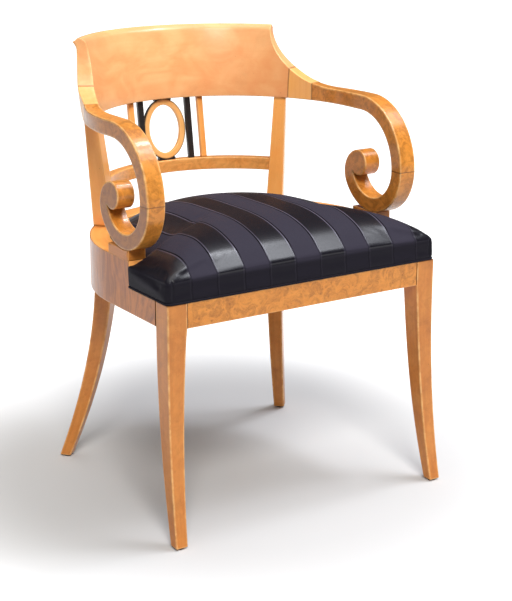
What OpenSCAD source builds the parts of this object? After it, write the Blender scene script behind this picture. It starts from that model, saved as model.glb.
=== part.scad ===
// Gondola armchair in veneered birch with an ebonised back and a stuffed, striped seat.
// A horseshoe seat frame stands on four sabre legs. The deep crest rail runs down through
// two knees into flat arms that end in open scrolls, and the scrolls stand on small blocks.
// Millimetres. X runs across the chair, Y to the back and Z up. The origin is on the floor,
// in the middle of the chair's width and depth.

/* [Seat rails] */
// Half the width over the side rails
seat_half_w = 280; // [250:1:310]
// Distance from the front face to where the side rails begin to bend
seat_bend_y = 207; // [180:1:240]
// Thickness of the rails, veneer included
rail_thick = 36; // [30:1:42]
// Height of the rails' lower edge above the floor
rail_bottom_z = 378; // [330:1:420]
// Height of the low front part of the rails
low_rail_h = 44; // [36:1:56]
// Height of the raised part of the rails round the back
raised_rail_h = 91; // [78:1:110]
// Distance from the front face to the step up to the raised part
step_y = 132; // [115:1:145]
// How far the front rail stands back from the faces of the front legs
front_rail_setback = 1; // [0.5:0.5:3]
// Thickness of the burl veneer on the rails
veneer_t = 1.2; // [0.6:0.2:2]
// Angle round the bend at which a side rail meets the back rail
rail_joint_angle = 54; // [50:1:60]

/* [Front legs] */
// Width of a front leg at the rail
front_leg_w = 38; // [32:1:46]
// Depth of a front leg at the rail
front_leg_d = 40; // [34:1:48]
// Width of a front foot
front_foot_w = 22; // [16:1:30]
// Depth of a front foot
front_foot_d = 20; // [16:1:30]
// How far a front foot stands out to the front
front_leg_throw = 32; // [10:1:50]
// How far a front foot stands out to the side
front_leg_splay = 5.6; // [0:0.2:15]

/* [Rear legs] */
// Place of the rear legs and posts round the bend
rear_leg_angle = 43; // [38:1:46]
// Turn of the rear legs about the upright
rear_leg_turn_angle = 42; // [30:1:50]
// Depth of a rear leg at the rail, along its curve
rear_leg_d = 34; // [28:1:36]
// Width of a rear leg at the rail
rear_leg_w = 34; // [26:1:38]
// Depth of a rear foot
rear_foot_d = 22; // [16:1:30]
// Width of a rear foot
rear_foot_w = 21; // [16:1:30]
// How far a rear foot stands out from the top of its leg
rear_leg_throw = 89; // [50:1:120]
// Diameter of the glide nailed under each foot
glide_dia = 14; // [10:1:16]
// Thickness of the glides
glide_h = 3; // [2:0.5:5]

/* [Back posts] */
// Depth of a post at its foot
post_foot_d = 37; // [30:1:42]
// Width of a post at its foot
post_foot_w = 32; // [24:1:36]
// Depth of a post at its head
post_head_d = 25; // [20:1:27]
// Width of a post at its head
post_head_w = 23; // [18:1:30]
// Turn of the posts about the upright
post_turn_angle = 40; // [30:1:50]
// Place of the heads of the posts round the crest rail
post_head_angle = 35.5; // [34:0.5:38]

/* [Crest rail] */
// Height of the lower edge of the crest rail, the knees and the arms
crest_bottom_z = 674; // [640:1:700]
// Height of the crest rail
crest_h = 137; // [110:1:165]
// Distance from the front face to the centre of the crest rail's curve
crest_yc = 247; // [230:1:265]
// How far the crest rail's outer face at its lower edge lies inside the bend of the arms
crest_inset = 12; // [6:1:18]
// Thickness of the crest rail at its lower edge
crest_thick = 26; // [22:1:28]
// How far the crest rail leans to the back over its height
crest_lean = 30; // [10:1:40]
// How far its inner face flares beyond that lean
crest_flare = 9; // [4:1:14]
// How far the rolled top edge stands out at the back
crest_lip = 7; // [4:1:12]
// How far the tip of that edge hangs below the top
crest_lip_drop = 7; // [0:1:10]
// Rounding of the top edges of crest rail and knees
top_easing = 0.5; // [0.2:0.1:2]
// How far the inner face rolls outward at the top edge
crest_roll = 7; // [2:1:9]

/* [Knees and swoop] */
// Angle round the crest rail at which it meets the knees
knee_top_angle = 30.5; // [28:0.5:31]
// Angle round the crest rail at which the knees meet the arms
knee_low_angle = 18; // [14:0.5:22]
// Angle round the crest rail that the swoop is drawn square to
swoop_angle = 30; // [27:1:33]
// Distance from that angle to the top corner of the crest rail
swoop_top = 50; // [42:1:58]
// Length of the swoop along the crest rail
swoop_run = 151; // [130:1:165]

/* [Arms and scrolls] */
// Width of the arms and scrolls
arm_w = 34; // [28:1:36]
// Thickness of the arm's band
arm_t = 27.5; // [22:0.5:32]
// Radius of the round lower half of a scroll
scroll_r = 88; // [78:1:96]
// Distance from the front face to the centre of that round
scroll_yc = 150; // [144:1:158]
// Reach of the front curve, from the scroll's front to where the arm runs level
scroll_reach = 125; // [112:1:132]
// Radius of the rolled end of a scroll
eye_r = 24.5; // [20:0.5:28]
// Radius of the turn that leads over the rolled end
scroll_turn_r = 45; // [40:1:50]
// Angle below level at which that turn leaves the round half
scroll_turn_angle = 30; // [22:1:38]
// Angle above level at which it meets the rolled end
eye_turn_angle = 80; // [72:1:90]
// Length of the block that carries a scroll
block_len = 71; // [56:1:90]
// Height of that block at its ends
block_h = 18; // [12:1:26]
// Depth of the hollow that seats the scroll
cradle_depth = 1.5; // [1:0.5:3]

/* [Back] */
// Height of the upper face of the mid rail
mid_rail_top_z = 554.5; // [530:0.5:580]
// Height of the mid rail
mid_rail_h = 24; // [16:1:32]
// Thickness of the mid rail
mid_rail_t = 20; // [16:1:22]
// How far its inner face stands in front of the crest rail's
mid_rail_setback = 14; // [8:1:20]
// Distance of the black bars from the centre line
black_bar_x = 52.6; // [48:0.2:58]
// Width of the black bars
black_bar_w = 12; // [8:1:12]
// Distance of the birch bars from the centre line
birch_bar_x = 77; // [72:1:90]
// Width of the birch bars
birch_bar_w = 12; // [8:1:16]
// Depth of all four bars
bar_d = 8; // [7:1:15]
// Half the width of the oval ring
ring_a = 46; // [30:1:46]
// Width of the ring's band
ring_band = 12; // [8:1:18]
// Depth of the ring
ring_d = 8; // [7:1:15]
// Width of the ebonised pads above and below the ring
pad_w = 36; // [16:1:40]
// Least thickness of those pads
pad_t = 1.5; // [1:0.5:4]
// Height of those pads at their ends
pad_h = 5; // [3:0.5:8]

/* [Seat] */
// Height of the boxed edge of the seat above the low rails
seat_edge_h = 39; // [32:1:46]
// Rise of the stuffed crown above that edge
seat_crown = 57; // [30:1:75]
// Distance of the crown's highest point behind the chair's front face
seat_crown_y = 200; // [150:5:230]
// How far the front edge of the boxing arches up between its corners
seat_bow = 7; // [0:1:10]
// How far the boxed edge overhangs the rails
seat_overhang = 1.5; // [0:0.5:4]
// How far the top of the boxed edge swells out over its foot
seat_swell = 2; // [0:0.5:5]
// Clearance between the seat and the raised rails
seat_gap = 0.5; // [0.3:0.1:2]
// Thickness of the cover with its wadding
cover_t = 3; // [2:0.5:5]
// Rounding of the seat's front corners
seat_corner_r = 12; // [6:1:20]
// Diameter of the welt along the lower edge
welt_dia = 4.4; // [3:0.2:6]
// Thickness of the loose seat frame
seat_frame_t = 18; // [14:1:22]
// Width of the bars of the loose seat frame
seat_frame_w = 50; // [40:1:60]
// Width of a strap of webbing
web_w = 50; // [40:1:60]
// Thickness of the webbing
web_t = 1.4; // [1:0.2:2]
// Thickness of the hessian
hessian_t = 1; // [0.6:0.2:2]
// Thickness of the cloth under the seat
bottom_cloth_t = 0.8; // [0.5:0.1:1.5]
// Width of the bearers inside the raised rails
bearer_w = 14; // [10:1:20]
// Height of the bearers
bearer_h = 18; // [12:1:26]

/* [Joints] */
// Clearance all round a tenon, dowel or screw
fit_gap = 0.1; // [0.05:0.05:0.3]
// Thickness of the rail tenons
rail_tenon_t = 11; // [8:1:14]
// Length of the rail tenons
rail_tenon_len = 20; // [14:1:22]
// Shoulder above and below the rail tenons
rail_tenon_shoulder = 7; // [5:1:10]
// Width of the tenons on legs and posts
leg_tenon_w = 20; // [14:1:22]
// Thickness of the tenons on legs and posts
leg_tenon_t = 12; // [8:1:14]
// Length of the tenons on legs and posts
leg_tenon_len = 32; // [20:1:38]
// Length of the tenons at the heads of the posts
post_head_tenon_len = 22; // [16:1:26]
// Diameter of the dowels in the rails and blocks
rail_dowel_dia = 10; // [8:1:12]
// Diameter of the dowels in the arms, knees and crest rail
arm_dowel_dia = 8; // [6:1:9]
// Length of the dowels in the rails and blocks
dowel_len = 40; // [30:1:44]
// Length of the dowels in the arms, knees and crest rail
arm_dowel_len = 28; // [20:1:30]
// Thickness of the tenons on the bars of the back
bar_tenon_t = 6; // [4:1:6]
// Length of the tenons on the bars of the back
bar_tenon_len = 12; // [8:1:14]
// Diameter of the pins that hold the ring
ring_pin_dia = 4; // [3:0.5:5]
// Diameter of the screws
screw_dia = 4.5; // [3.5:0.5:5]
// Diameter of the screw heads
screw_head_dia = 9; // [7:1:10]

/* [Hidden] */

// Smoothness of true round faces
$fn = 96;
// Overrun of every cut past the face it starts from
over = 1;
// Reach of a cutting shape past the whole chair
far = 900;
// Steps along a leg, a scroll's curve and a swoop
leg_steps = 14;
arc_steps = 28;
swoop_steps = 12;
// Sections of the crest rail between its two swoops, and of a knee
crest_steps = 36;
knee_steps = 8;
// Shares of a section's height at which its faces have points
face_shares = [0, 0.05, 0.14, 0.27, 0.42, 0.58, 0.72, 0.82, 0.89, 0.945, 1];
// Shape of the curves of the legs, as powers of the share of the height
front_width_share = 0.7;
front_curve_share = 2.4;
front_taper_share = 1.5;
rear_curve_share = 1.7;
// Shape of the crest rail's faces, as powers of the share of its height
crest_front_share = 1.6;
crest_back_share = 0.55;
// Shares of the crest rail's height at which the roll and the lip begin
roll_start_share = 0.94;
lip_start_share = 0.88;
// Shape of the seat's crown, and the rings that it is drawn with
crown_share = 3.6;
ring_shares = [0.985, 0.95, 0.87, 0.76, 0.62, 0.45, 0.25];
// How far ahead of the step those rings begin to narrow
step_ease = 20;

// Rails
low_top_z = rail_bottom_z + low_rail_h;
raised_top_z = rail_bottom_z + raised_rail_h;
rail_in_r = seat_half_w - rail_thick;
core_r = seat_half_w - veneer_t;
rail_mid_r = (core_r + rail_in_r) / 2;
front_rail_y = front_rail_setback + veneer_t;
front_rail_x = seat_half_w - front_leg_w;
front_tenon_y = front_rail_y + (rail_tenon_t - veneer_t) / 2;
side_tenon_len = front_leg_d - front_tenon_y - rail_tenon_t - screw_dia;
rail_dowel_low_z = rail_bottom_z + low_rail_h / 2;
rail_dowel_high_z = raised_top_z - low_rail_h / 2;

// Radii of the crest rail's two faces at its lower edge
crest_out_r = seat_half_w - crest_inset;
crest_in_r = crest_out_r - crest_thick;

// Rear legs and posts
rear_leg_x = rail_mid_r * cos(rear_leg_angle);
rear_leg_y = seat_bend_y + rail_mid_r * sin(rear_leg_angle);
post_foot_r = rail_in_r + post_foot_d / 2 - cover_t;
post_foot_x = post_foot_r * cos(rear_leg_angle);
post_foot_y = seat_bend_y + post_foot_r * sin(rear_leg_angle);
post_head_r = crest_in_r + post_head_d / 2;
post_head_x = post_head_r * cos(post_head_angle);
post_head_y = crest_yc + post_head_r * sin(post_head_angle);

// Crest rail, arms and scrolls
crest_mid_r = crest_in_r + crest_thick / 2;
chair_h = crest_bottom_z + crest_h;
arm_top_z = crest_bottom_z + arm_t;
arm_in_x = seat_half_w - arm_w;
arm_mid_x = seat_half_w - arm_w / 2;
scroll_bottom_z = raised_top_z + block_h - cradle_depth;
scroll_zc = scroll_bottom_z + scroll_r;
scroll_front_y = scroll_yc - scroll_r;
bend_yc = scroll_front_y + scroll_reach;
bend_h = arm_top_z - scroll_zc;
turn_yc = scroll_yc + (scroll_r - scroll_turn_r) * cos(scroll_turn_angle);
turn_zc = scroll_zc - (scroll_r - scroll_turn_r) * sin(scroll_turn_angle);
eye_yc = turn_yc + (scroll_turn_r - eye_r) * cos(eye_turn_angle);
eye_zc = turn_zc + (scroll_turn_r - eye_r) * sin(eye_turn_angle);
// Where the inside of the band meets the rolled end, as angles about both centres
scroll_in_r = scroll_r - arm_t;
eye_out = norm([eye_yc - scroll_yc, eye_zc - scroll_zc]);
eye_dir = atan2(eye_zc - scroll_zc, eye_yc - scroll_yc);
crease_out = (pow(eye_out, 2) + pow(scroll_in_r, 2) - pow(eye_r, 2)) / 2 / eye_out;
crease_drop = sqrt(pow(scroll_in_r, 2) - pow(crease_out, 2));
crease_in_angle = eye_dir - acos(crease_out / scroll_in_r);
crease_eye_angle = eye_dir + atan2(-crease_drop, crease_out - eye_out);
swoop_drop = chair_h - arm_top_z;
swoop_low = swoop_top - swoop_run;

// The arm's two plan curves run from the straight sides into the crest rail's circles,
// touching both. Each is [radius, centre x, centre y].
function plan_curve(x0, r) =
  let (c = cos(knee_top_angle),
       rho = (x0 - r * c) / (1 - c))
  [rho, x0 - rho, crest_yc + (r - rho) * sin(knee_top_angle)];
out_curve = plan_curve(seat_half_w, crest_out_r);
in_curve = plan_curve(arm_in_x, crest_in_r);
function curve_r(curve, a) =
  let (dx = curve[1],
       dy = curve[2] - crest_yc,
       b = dx * cos(a) + dy * sin(a))
  b + sqrt(curve[0] * curve[0] - dx * dx - dy * dy + b * b);

// Back
mid_rail_in_r = crest_in_r - mid_rail_setback;
back_lean_y = crest_mid_r - (mid_rail_in_r + mid_rail_t / 2);
back_gap_h = crest_bottom_z - mid_rail_top_z;
back_lean = atan(back_lean_y / back_gap_h);
mid_rail_r = mid_rail_in_r + mid_rail_t / 2;
mid_rail_end_angle = post_head_angle;
ring_b = (back_gap_h / 2 - pad_t) / cos(back_lean);

// Seat
seat_bottom_z = low_top_z;
seat_edge_z = seat_bottom_z + seat_edge_h;
cover_bottom_z = seat_bottom_z + welt_dia + fit_gap;
seat_frame_top_z = seat_bottom_z + seat_frame_t;
web_cross_z = seat_frame_top_z + web_t;
hessian_z = web_cross_z + web_t;
stuffing_z = hessian_z + hessian_t;
frame_inset = max(cover_t, welt_dia) + seat_gap;
bearer_in_r = rail_in_r - bearer_w;
block_leg = front_leg_w + low_rail_h / 2;
block_z = rail_bottom_z + rail_tenon_shoulder;
block_y = front_rail_y + rail_thick;
block_screw_z = rail_bottom_z + low_rail_h / 2;

// Extent of the chair in depth, which sets the origin
back_y = crest_yc + back_r(90, 1);
mid_y = (back_y - front_leg_throw) / 2;

birch = "#E8A45C";
burl = "#D08B45";
ebony = "#2A2522";
satin = "#23242C";
beech = "#D9B98A";
steel = "#8C8F94";
jute = "#B79B6C";
hair = "#6B5540";

// A size that changes from a at the rail to b at the foot
function taper(a, b, s, p) = a + (b - a) * pow(s, p);

// Share of the way down from the rails to the floor
function leg_share(i) = i / leg_steps;
function leg_z(i) = rail_bottom_z - (rail_bottom_z - glide_h) * leg_share(i);

// Moves the chair from its drawing position, with the front face at zero, to its origin
module placed() {
  translate([0, -mid_y, 0]) children();
}

// The right-hand piece, or its mirror image on the left
module on_side(side) {
  placed() mirror([side < 0 ? 1 : 0, 0, 0]) children();
}

// Both hands of what is drawn on the right
module both() {
  children();
  mirror([1, 0, 0]) children();
}

// Extrudes a side view, drawn in depth and height, across the chair from x0 to x1
module side_view(x0, x1) {
  translate([x0, 0, 0]) rotate([90, 0, 90]) linear_extrude(x1 - x0) children();
}

// Extrudes a front view, drawn in width and height, from y0 back to y1
module front_view(y0, y1) {
  translate([0, y1, 0]) rotate([90, 0, 0]) linear_extrude(y1 - y0) children();
}

// A horseshoe in plan, of radius r round the bend, open-ended at y0
module horseshoe(r, y0) {
  intersection() {
    translate([0, seat_bend_y]) circle(r, $fn = 180);
    translate([-far, seat_bend_y]) square([2 * far, far]);
  }
  translate([-r, y0]) square([2 * r, seat_bend_y - y0]);
}

// A wedge in plan from angle a0 to a1, less than half a turn
module wedge(a0, a1) {
  m = (a0 + a1) / 2;
  polygon([[0, 0], [far * cos(a0), far * sin(a0)], [far * cos(m), far * sin(m)],
           [far * cos(a1), far * sin(a1)]]);
}

// Band between two radii, for the right-hand side rail: straight, then round to the joint
module side_band(r_out, r_in, y0) {
  difference() {
    intersection() {
      horseshoe(r_out, y0);
      union() {
        translate([0, y0]) square([far, seat_bend_y - y0]);
        translate([0, seat_bend_y]) wedge(0, rail_joint_angle);
      }
    }
    horseshoe(r_in, y0 - over);
  }
}

// Band between two radii round the back, from one joint to the other
module back_band(r_out, r_in) {
  difference() {
    intersection() {
      horseshoe(r_out, step_y);
      translate([0, seat_bend_y]) wedge(rail_joint_angle, 180 - rail_joint_angle);
    }
    horseshoe(r_in, step_y - over);
  }
}

// A piece set at a place round the bend and turned about the upright
module turned_at(x, y, a) {
  translate([x, y, 0]) rotate([0, 0, -a]) children();
}

// An upright tenon with its clearance g, from z up
module upright_tenon(w, t, z, h, g) {
  translate([-w / 2 - g, -t / 2 - g, z]) cube([w + 2 * g, t + 2 * g, h]);
}

module leg_tenon(g) {
  turned_at(rear_leg_x, rear_leg_y, rear_leg_turn_angle)
    upright_tenon(leg_tenon_w, leg_tenon_t, rail_bottom_z - over, leg_tenon_len + over + g, g);
}

module post_foot_tenon(g) {
  turned_at(post_foot_x, post_foot_y, post_turn_angle)
    upright_tenon(leg_tenon_w, leg_tenon_t, raised_top_z - leg_tenon_len - g, leg_tenon_len + over + g, g);
}

module post_head_tenon(g) {
  turned_at(post_head_x, post_head_y, post_turn_angle)
    upright_tenon(bar_tenon_len, bar_tenon_t, crest_bottom_z - over, post_head_tenon_len + over + g, g);
}

// Dowels across the joint between a side rail and the back rail
module rail_joint_dowels(g) {
  for (z = [rail_dowel_low_z, rail_dowel_high_z])
    translate([rail_mid_r * cos(rail_joint_angle), seat_bend_y + rail_mid_r * sin(rail_joint_angle), z])
      rotate([0, 0, rail_joint_angle]) rotate([90, 0, 0])
        cylinder(h = dowel_len + 2 * g, d = rail_dowel_dia + 2 * g, center = true);
}

// Dowel that runs from the side rail up through the block into the scroll
module scroll_dowel(g) {
  translate([arm_mid_x, scroll_yc, raised_top_z - dowel_len / 2 - g])
    cylinder(h = dowel_len / 2 + block_h + arm_t / 2 + 2 * g, d = rail_dowel_dia + 2 * g);
}

// Front rail tenon, entering the right front leg
module front_rail_tenon(g) {
  translate([front_rail_x - over, front_tenon_y - g, rail_bottom_z + rail_tenon_shoulder - g])
    cube([rail_tenon_len + over + g, rail_tenon_t + 2 * g, low_rail_h - 2 * rail_tenon_shoulder + 2 * g]);
}

// Side rail tenon, entering the back of the right front leg
module side_rail_tenon(g) {
  translate([rail_mid_r - rail_tenon_t / 2 - g, front_leg_d - side_tenon_len - g,
             rail_bottom_z + rail_tenon_shoulder - g])
    cube([rail_tenon_t + 2 * g, side_tenon_len + over + g,
          low_rail_h - 2 * rail_tenon_shoulder + 2 * g]);
}

// Screws from a corner block into the front rail and into the side rail. The recess is the
// way in for the driver.
module block_screws(g, recess) {
  translate([front_rail_x - block_leg * 3 / 5, block_y + block_leg / 3, block_screw_z])
    rotate([90, 0, 0]) headed_screw(block_leg / 3 + rail_thick / 2, g, recess);
  translate([rail_in_r - block_leg / 3, block_y + block_leg * 3 / 5, block_screw_z])
    rotate([0, 90, 0]) headed_screw(block_leg / 3 + rail_thick / 2, g, recess);
}

// A screw with its head at zero, pointing up, and the way in behind its head
module headed_screw(len, g, recess) {
  cylinder(h = len + g, d = screw_dia + 2 * g);
  translate([0, 0, -recess - g]) cylinder(h = recess + screw_head_dia / 2 + g, d = screw_head_dia + 2 * g);
}

// Screw up through a corner block or the back bearer into the seat frame
module seat_screw(x, y, z, g) {
  translate([x, y, z]) {
    cylinder(h = seat_bottom_z + seat_frame_t * 2 / 3 - z + g, d = screw_dia + 2 * g);
    cylinder(h = screw_head_dia / 2 + g, d = screw_head_dia + 2 * g);
  }
}

// Places of the seat screws on the right, as [x, y, z]
block_screw_x = front_rail_x - block_leg / 4;
block_screw_y = block_y + block_leg / 4;
bearer_screw_angle = rail_joint_angle + screw_head_dia;
bearer_screw_r = rail_in_r - bearer_w / 2;
seat_screw_places = [
  [block_screw_x, block_screw_y, block_z],
  [bearer_screw_r * cos(bearer_screw_angle), seat_bend_y + bearer_screw_r * sin(bearer_screw_angle),
   seat_bottom_z - bearer_h]
];

module all_seat_screws(g) {
  both() for (p = seat_screw_places) seat_screw(p[0], p[1], p[2], g);
}

// Seat rails

module front_rail() {
  color(burl) placed() {
    difference() {
      translate([-front_rail_x, front_rail_y, rail_bottom_z])
        cube([2 * front_rail_x, rail_thick, low_rail_h]);
      both() block_screws(fit_gap, 0);
    }
    both() intersection() {
      front_rail_tenon(0);
      translate([front_rail_x, 0, 0]) cube([far, far, far]);
    }
  }
}

module front_rail_veneer() {
  color(burl) placed()
    translate([-front_rail_x, front_rail_setback, rail_bottom_z])
      cube([2 * front_rail_x, veneer_t, low_rail_h]);
}

module side_rail() {
  difference() {
    union() {
      translate([0, 0, rail_bottom_z]) linear_extrude(low_rail_h)
        side_band(core_r, rail_in_r, front_leg_d);
      translate([0, 0, rail_bottom_z]) linear_extrude(raised_rail_h)
        side_band(core_r, rail_in_r, step_y);
      side_rail_tenon(0);
    }
    leg_tenon(fit_gap);
    post_foot_tenon(fit_gap);
    rail_joint_dowels(fit_gap);
    scroll_dowel(fit_gap);
    block_screws(fit_gap, 0);
  }
}

module side_rail_left() { color(burl) on_side(-1) side_rail(); }
module side_rail_right() { color(burl) on_side(1) side_rail(); }

module back_rail() {
  color(burl) placed() difference() {
    translate([0, 0, rail_bottom_z]) linear_extrude(raised_rail_h) back_band(core_r, rail_in_r);
    both() rail_joint_dowels(fit_gap);
  }
}

// Veneer round the outside of the rails, from a front leg to the middle of the back
module rail_veneer() {
  translate([0, 0, rail_bottom_z]) {
    linear_extrude(low_rail_h) intersection() {
      veneer_band();
      translate([0, front_leg_d]) square([far, far]);
    }
    linear_extrude(raised_rail_h) intersection() {
      veneer_band();
      translate([0, step_y]) square([far, far]);
    }
  }
}

module veneer_band() {
  difference() {
    horseshoe(seat_half_w, front_leg_d);
    horseshoe(core_r, front_leg_d - over);
  }
}

module rail_veneer_left() { color(burl) on_side(-1) rail_veneer(); }
module rail_veneer_right() { color(burl) on_side(1) rail_veneer(); }

module rail_dowels() {
  color(beech) placed() both() rail_joint_dowels(0);
}

// Legs

// Points down one edge of a leg and back up the other, from two lists of [place, height]
function outline(a, b) = concat(a, [for (i = [len(b) - 1 : -1 : 0]) b[i]]);

module front_leg() {
  front = [for (i = [0 : leg_steps]) let (s = leg_share(i))
    [-front_leg_throw * pow(s, front_curve_share), leg_z(i)]];
  back = [for (i = [0 : leg_steps]) let (s = leg_share(i))
    [-front_leg_throw * pow(s, front_curve_share) + taper(front_leg_d, front_foot_d, s, front_taper_share),
     leg_z(i)]];
  outer = [for (i = [0 : leg_steps]) let (s = leg_share(i))
    [seat_half_w + front_leg_splay * s * s, leg_z(i)]];
  inner = [for (i = [0 : leg_steps]) let (s = leg_share(i))
    [seat_half_w + front_leg_splay * s * s - taper(front_leg_w, front_foot_w, s, front_width_share),
     leg_z(i)]];
  difference() {
    union() {
      intersection() {
        side_view(0, far) polygon(outline(front, back));
        front_view(-far, far) polygon(outline(outer, inner));
      }
      translate([front_rail_x, 0, rail_bottom_z]) cube([front_leg_w, front_leg_d, low_rail_h]);
    }
    front_rail_tenon(fit_gap);
    side_rail_tenon(fit_gap);
  }
}

module front_leg_left() { color(birch) on_side(-1) front_leg(); }
module front_leg_right() { color(birch) on_side(1) front_leg(); }

// A rear leg in its own turned frame: its curve lies in depth, straight out from the bend
module rear_leg() {
  throw = [for (i = [0 : leg_steps]) rear_leg_throw * pow(leg_share(i), rear_curve_share)];
  half_d = [for (i = [0 : leg_steps]) taper(rear_leg_d, rear_foot_d, leg_share(i), 1) / 2];
  half_w = [for (i = [0 : leg_steps]) taper(rear_leg_w, rear_foot_w, leg_share(i), 1) / 2];
  inner = [for (i = [0 : leg_steps]) [throw[i] - half_d[i], leg_z(i)]];
  outer = [for (i = [0 : leg_steps]) [throw[i] + half_d[i], leg_z(i)]];
  near = [for (i = [0 : leg_steps]) [-half_w[i], leg_z(i)]];
  away = [for (i = [0 : leg_steps]) [half_w[i], leg_z(i)]];
  turned_at(rear_leg_x, rear_leg_y, rear_leg_turn_angle) intersection() {
    side_view(-far, far) polygon(outline(inner, outer));
    front_view(-far, far) polygon(outline(near, away));
  }
  leg_tenon(0);
}

module rear_leg_left() { color(birch) on_side(-1) rear_leg(); }
module rear_leg_right() { color(birch) on_side(1) rear_leg(); }

module foot_glides() {
  front_x = seat_half_w + front_leg_splay - front_foot_w / 2;
  front_y = front_foot_d / 2 - front_leg_throw;
  color(steel) placed() both() {
    translate([front_x, front_y, 0]) cylinder(h = glide_h, d = glide_dia);
    turned_at(rear_leg_x, rear_leg_y, rear_leg_turn_angle) translate([0, rear_leg_throw, 0])
      cylinder(h = glide_h, d = glide_dia);
  }
}

// Blocks, bearers and their screws

module corner_block() {
  gap = fit_gap;
  difference() {
    translate([0, 0, block_z]) linear_extrude(seat_bottom_z - block_z) polygon([
      [rail_in_r, front_leg_d + gap], [rail_in_r, block_y + block_leg],
      [front_rail_x - block_leg, block_y], [front_rail_x - gap, block_y],
      [front_rail_x - gap, front_leg_d + gap]]);
    block_screws(fit_gap, block_leg);
    seat_screw(block_screw_x, block_screw_y, block_z, fit_gap);
  }
}

module corner_block_left() { color(beech) on_side(-1) corner_block(); }
module corner_block_right() { color(beech) on_side(1) corner_block(); }

module corner_block_screws() {
  color(steel) placed() both() block_screws(0, 0);
}

module side_bearer() {
  translate([0, 0, seat_bottom_z - bearer_h]) linear_extrude(bearer_h)
    side_band(rail_in_r, bearer_in_r, step_y);
}

module seat_bearer_left() { color(beech) on_side(-1) side_bearer(); }
module seat_bearer_right() { color(beech) on_side(1) side_bearer(); }

module seat_bearer_back() {
  color(beech) placed() difference() {
    translate([0, 0, seat_bottom_z - bearer_h]) linear_extrude(bearer_h)
      back_band(rail_in_r, bearer_in_r);
    all_seat_screws(fit_gap);
  }
}

// Back posts and mid rail

// Corners of a turned rectangle round (x, y) at height z
function turned_rect(x, y, a, w, d, z) = [
  for (c = [[-1, -1], [1, -1], [1, 1], [-1, 1]])
    let (u = c[0] * w / 2, v = c[1] * d / 2)
    [x + u * cos(a) + v * sin(a), y - u * sin(a) + v * cos(a), z]];

module post_body() {
  polyhedron(
    points = concat(
      turned_rect(post_foot_x, post_foot_y, post_turn_angle, post_foot_w, post_foot_d, raised_top_z),
      turned_rect(post_head_x, post_head_y, post_turn_angle, post_head_w, post_head_d, crest_bottom_z)),
    faces = concat(
      [[0, 1, 2], [0, 2, 3], [4, 6, 5], [4, 7, 6]],
      [for (i = [0 : 3]) [i, i + 4, (i + 1) % 4]],
      [for (i = [0 : 3]) [(i + 1) % 4, i + 4, (i + 1) % 4 + 4]]));
}

// The tongue at the end of the mid rail, with clearance g
module mid_rail_tongue(g) {
  t = bar_tenon_t + 2 * g;
  h = mid_rail_h - rail_tenon_shoulder + 2 * g;
  translate([0, crest_yc, 0]) rotate([0, 0, mid_rail_end_angle - atan(g / mid_rail_r)])
    rotate_extrude(angle = atan(post_foot_w / mid_rail_r), $fn = 180)
      translate([mid_rail_r - t / 2, mid_rail_top_z - mid_rail_h / 2 - h / 2]) square([t, h]);
}

module back_post() {
  difference() {
    post_body();
    mid_rail_tongue(fit_gap);
  }
  post_foot_tenon(0);
  post_head_tenon(0);
}

module back_post_left() { color(birch) on_side(-1) back_post(); }
module back_post_right() { color(birch) on_side(1) back_post(); }

module mid_rail() {
  color(birch) placed() difference() {
    union() {
      difference() {
        translate([0, crest_yc, 0]) rotate([0, 0, mid_rail_end_angle])
          rotate_extrude(angle = 180 - 2 * mid_rail_end_angle, $fn = 180)
            translate([mid_rail_in_r, mid_rail_top_z - mid_rail_h]) square([mid_rail_t, mid_rail_h]);
        both() post_body();
      }
      both() mid_rail_tongue(0);
    }
    bar_tenons(fit_gap);
    ring_pin(fit_gap);
  }
}

// Bars and ring of the back

function bar_low_y(x) = crest_yc + sqrt(mid_rail_r * mid_rail_r - x * x);
function bar_high_y(x) = crest_yc + sqrt(crest_mid_r * crest_mid_r - x * x);
function bar_turn(x) = asin(x / crest_mid_r);

module one_bar_tenons(x, g) {
  turned_at(x, bar_low_y(x), bar_turn(x))
    upright_tenon(bar_tenon_t, bar_tenon_t, mid_rail_top_z - bar_tenon_len - g, bar_tenon_len + g + over, g);
  turned_at(x, bar_high_y(x), bar_turn(x))
    upright_tenon(bar_tenon_t, bar_tenon_t, crest_bottom_z - over, bar_tenon_len + g + over, g);
}

module bar_tenons(g) {
  both() for (x = [black_bar_x, birch_bar_x]) one_bar_tenons(x, g);
}

// A bar at x, w wide, leaning from the mid rail up to the crest rail
module bar(x, w) {
  lean = atan((bar_high_y(x) - bar_low_y(x)) / back_gap_h);
  intersection() {
    union() {
      translate([x, bar_low_y(x), mid_rail_top_z]) rotate([-lean, 0, 0]) rotate([0, 0, -bar_turn(x)])
        translate([-w / 2, -bar_d / 2, -back_gap_h]) cube([w, bar_d, 3 * back_gap_h]);
    }
    translate([0, 0, mid_rail_top_z]) cube([far, far, back_gap_h]);
  }
  one_bar_tenons(x, 0);
}

module black_bar_left() { color(ebony) on_side(-1) bar(black_bar_x, black_bar_w); }
module black_bar_right() { color(ebony) on_side(1) bar(black_bar_x, black_bar_w); }
module birch_bar_left() { color(birch) on_side(-1) bar(birch_bar_x, birch_bar_w); }
module birch_bar_right() { color(birch) on_side(1) bar(birch_bar_x, birch_bar_w); }

// Frame of the ring: its centre, leaning with the back
module ring_frame() {
  translate([0, (bar_low_y(0) + bar_high_y(0)) / 2, mid_rail_top_z + back_gap_h / 2])
    rotate([-back_lean, 0, 0]) children();
}

function oval(a, b) = [for (i = [0 : 71]) [a * cos(i * 5), b * sin(i * 5)]];

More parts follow.
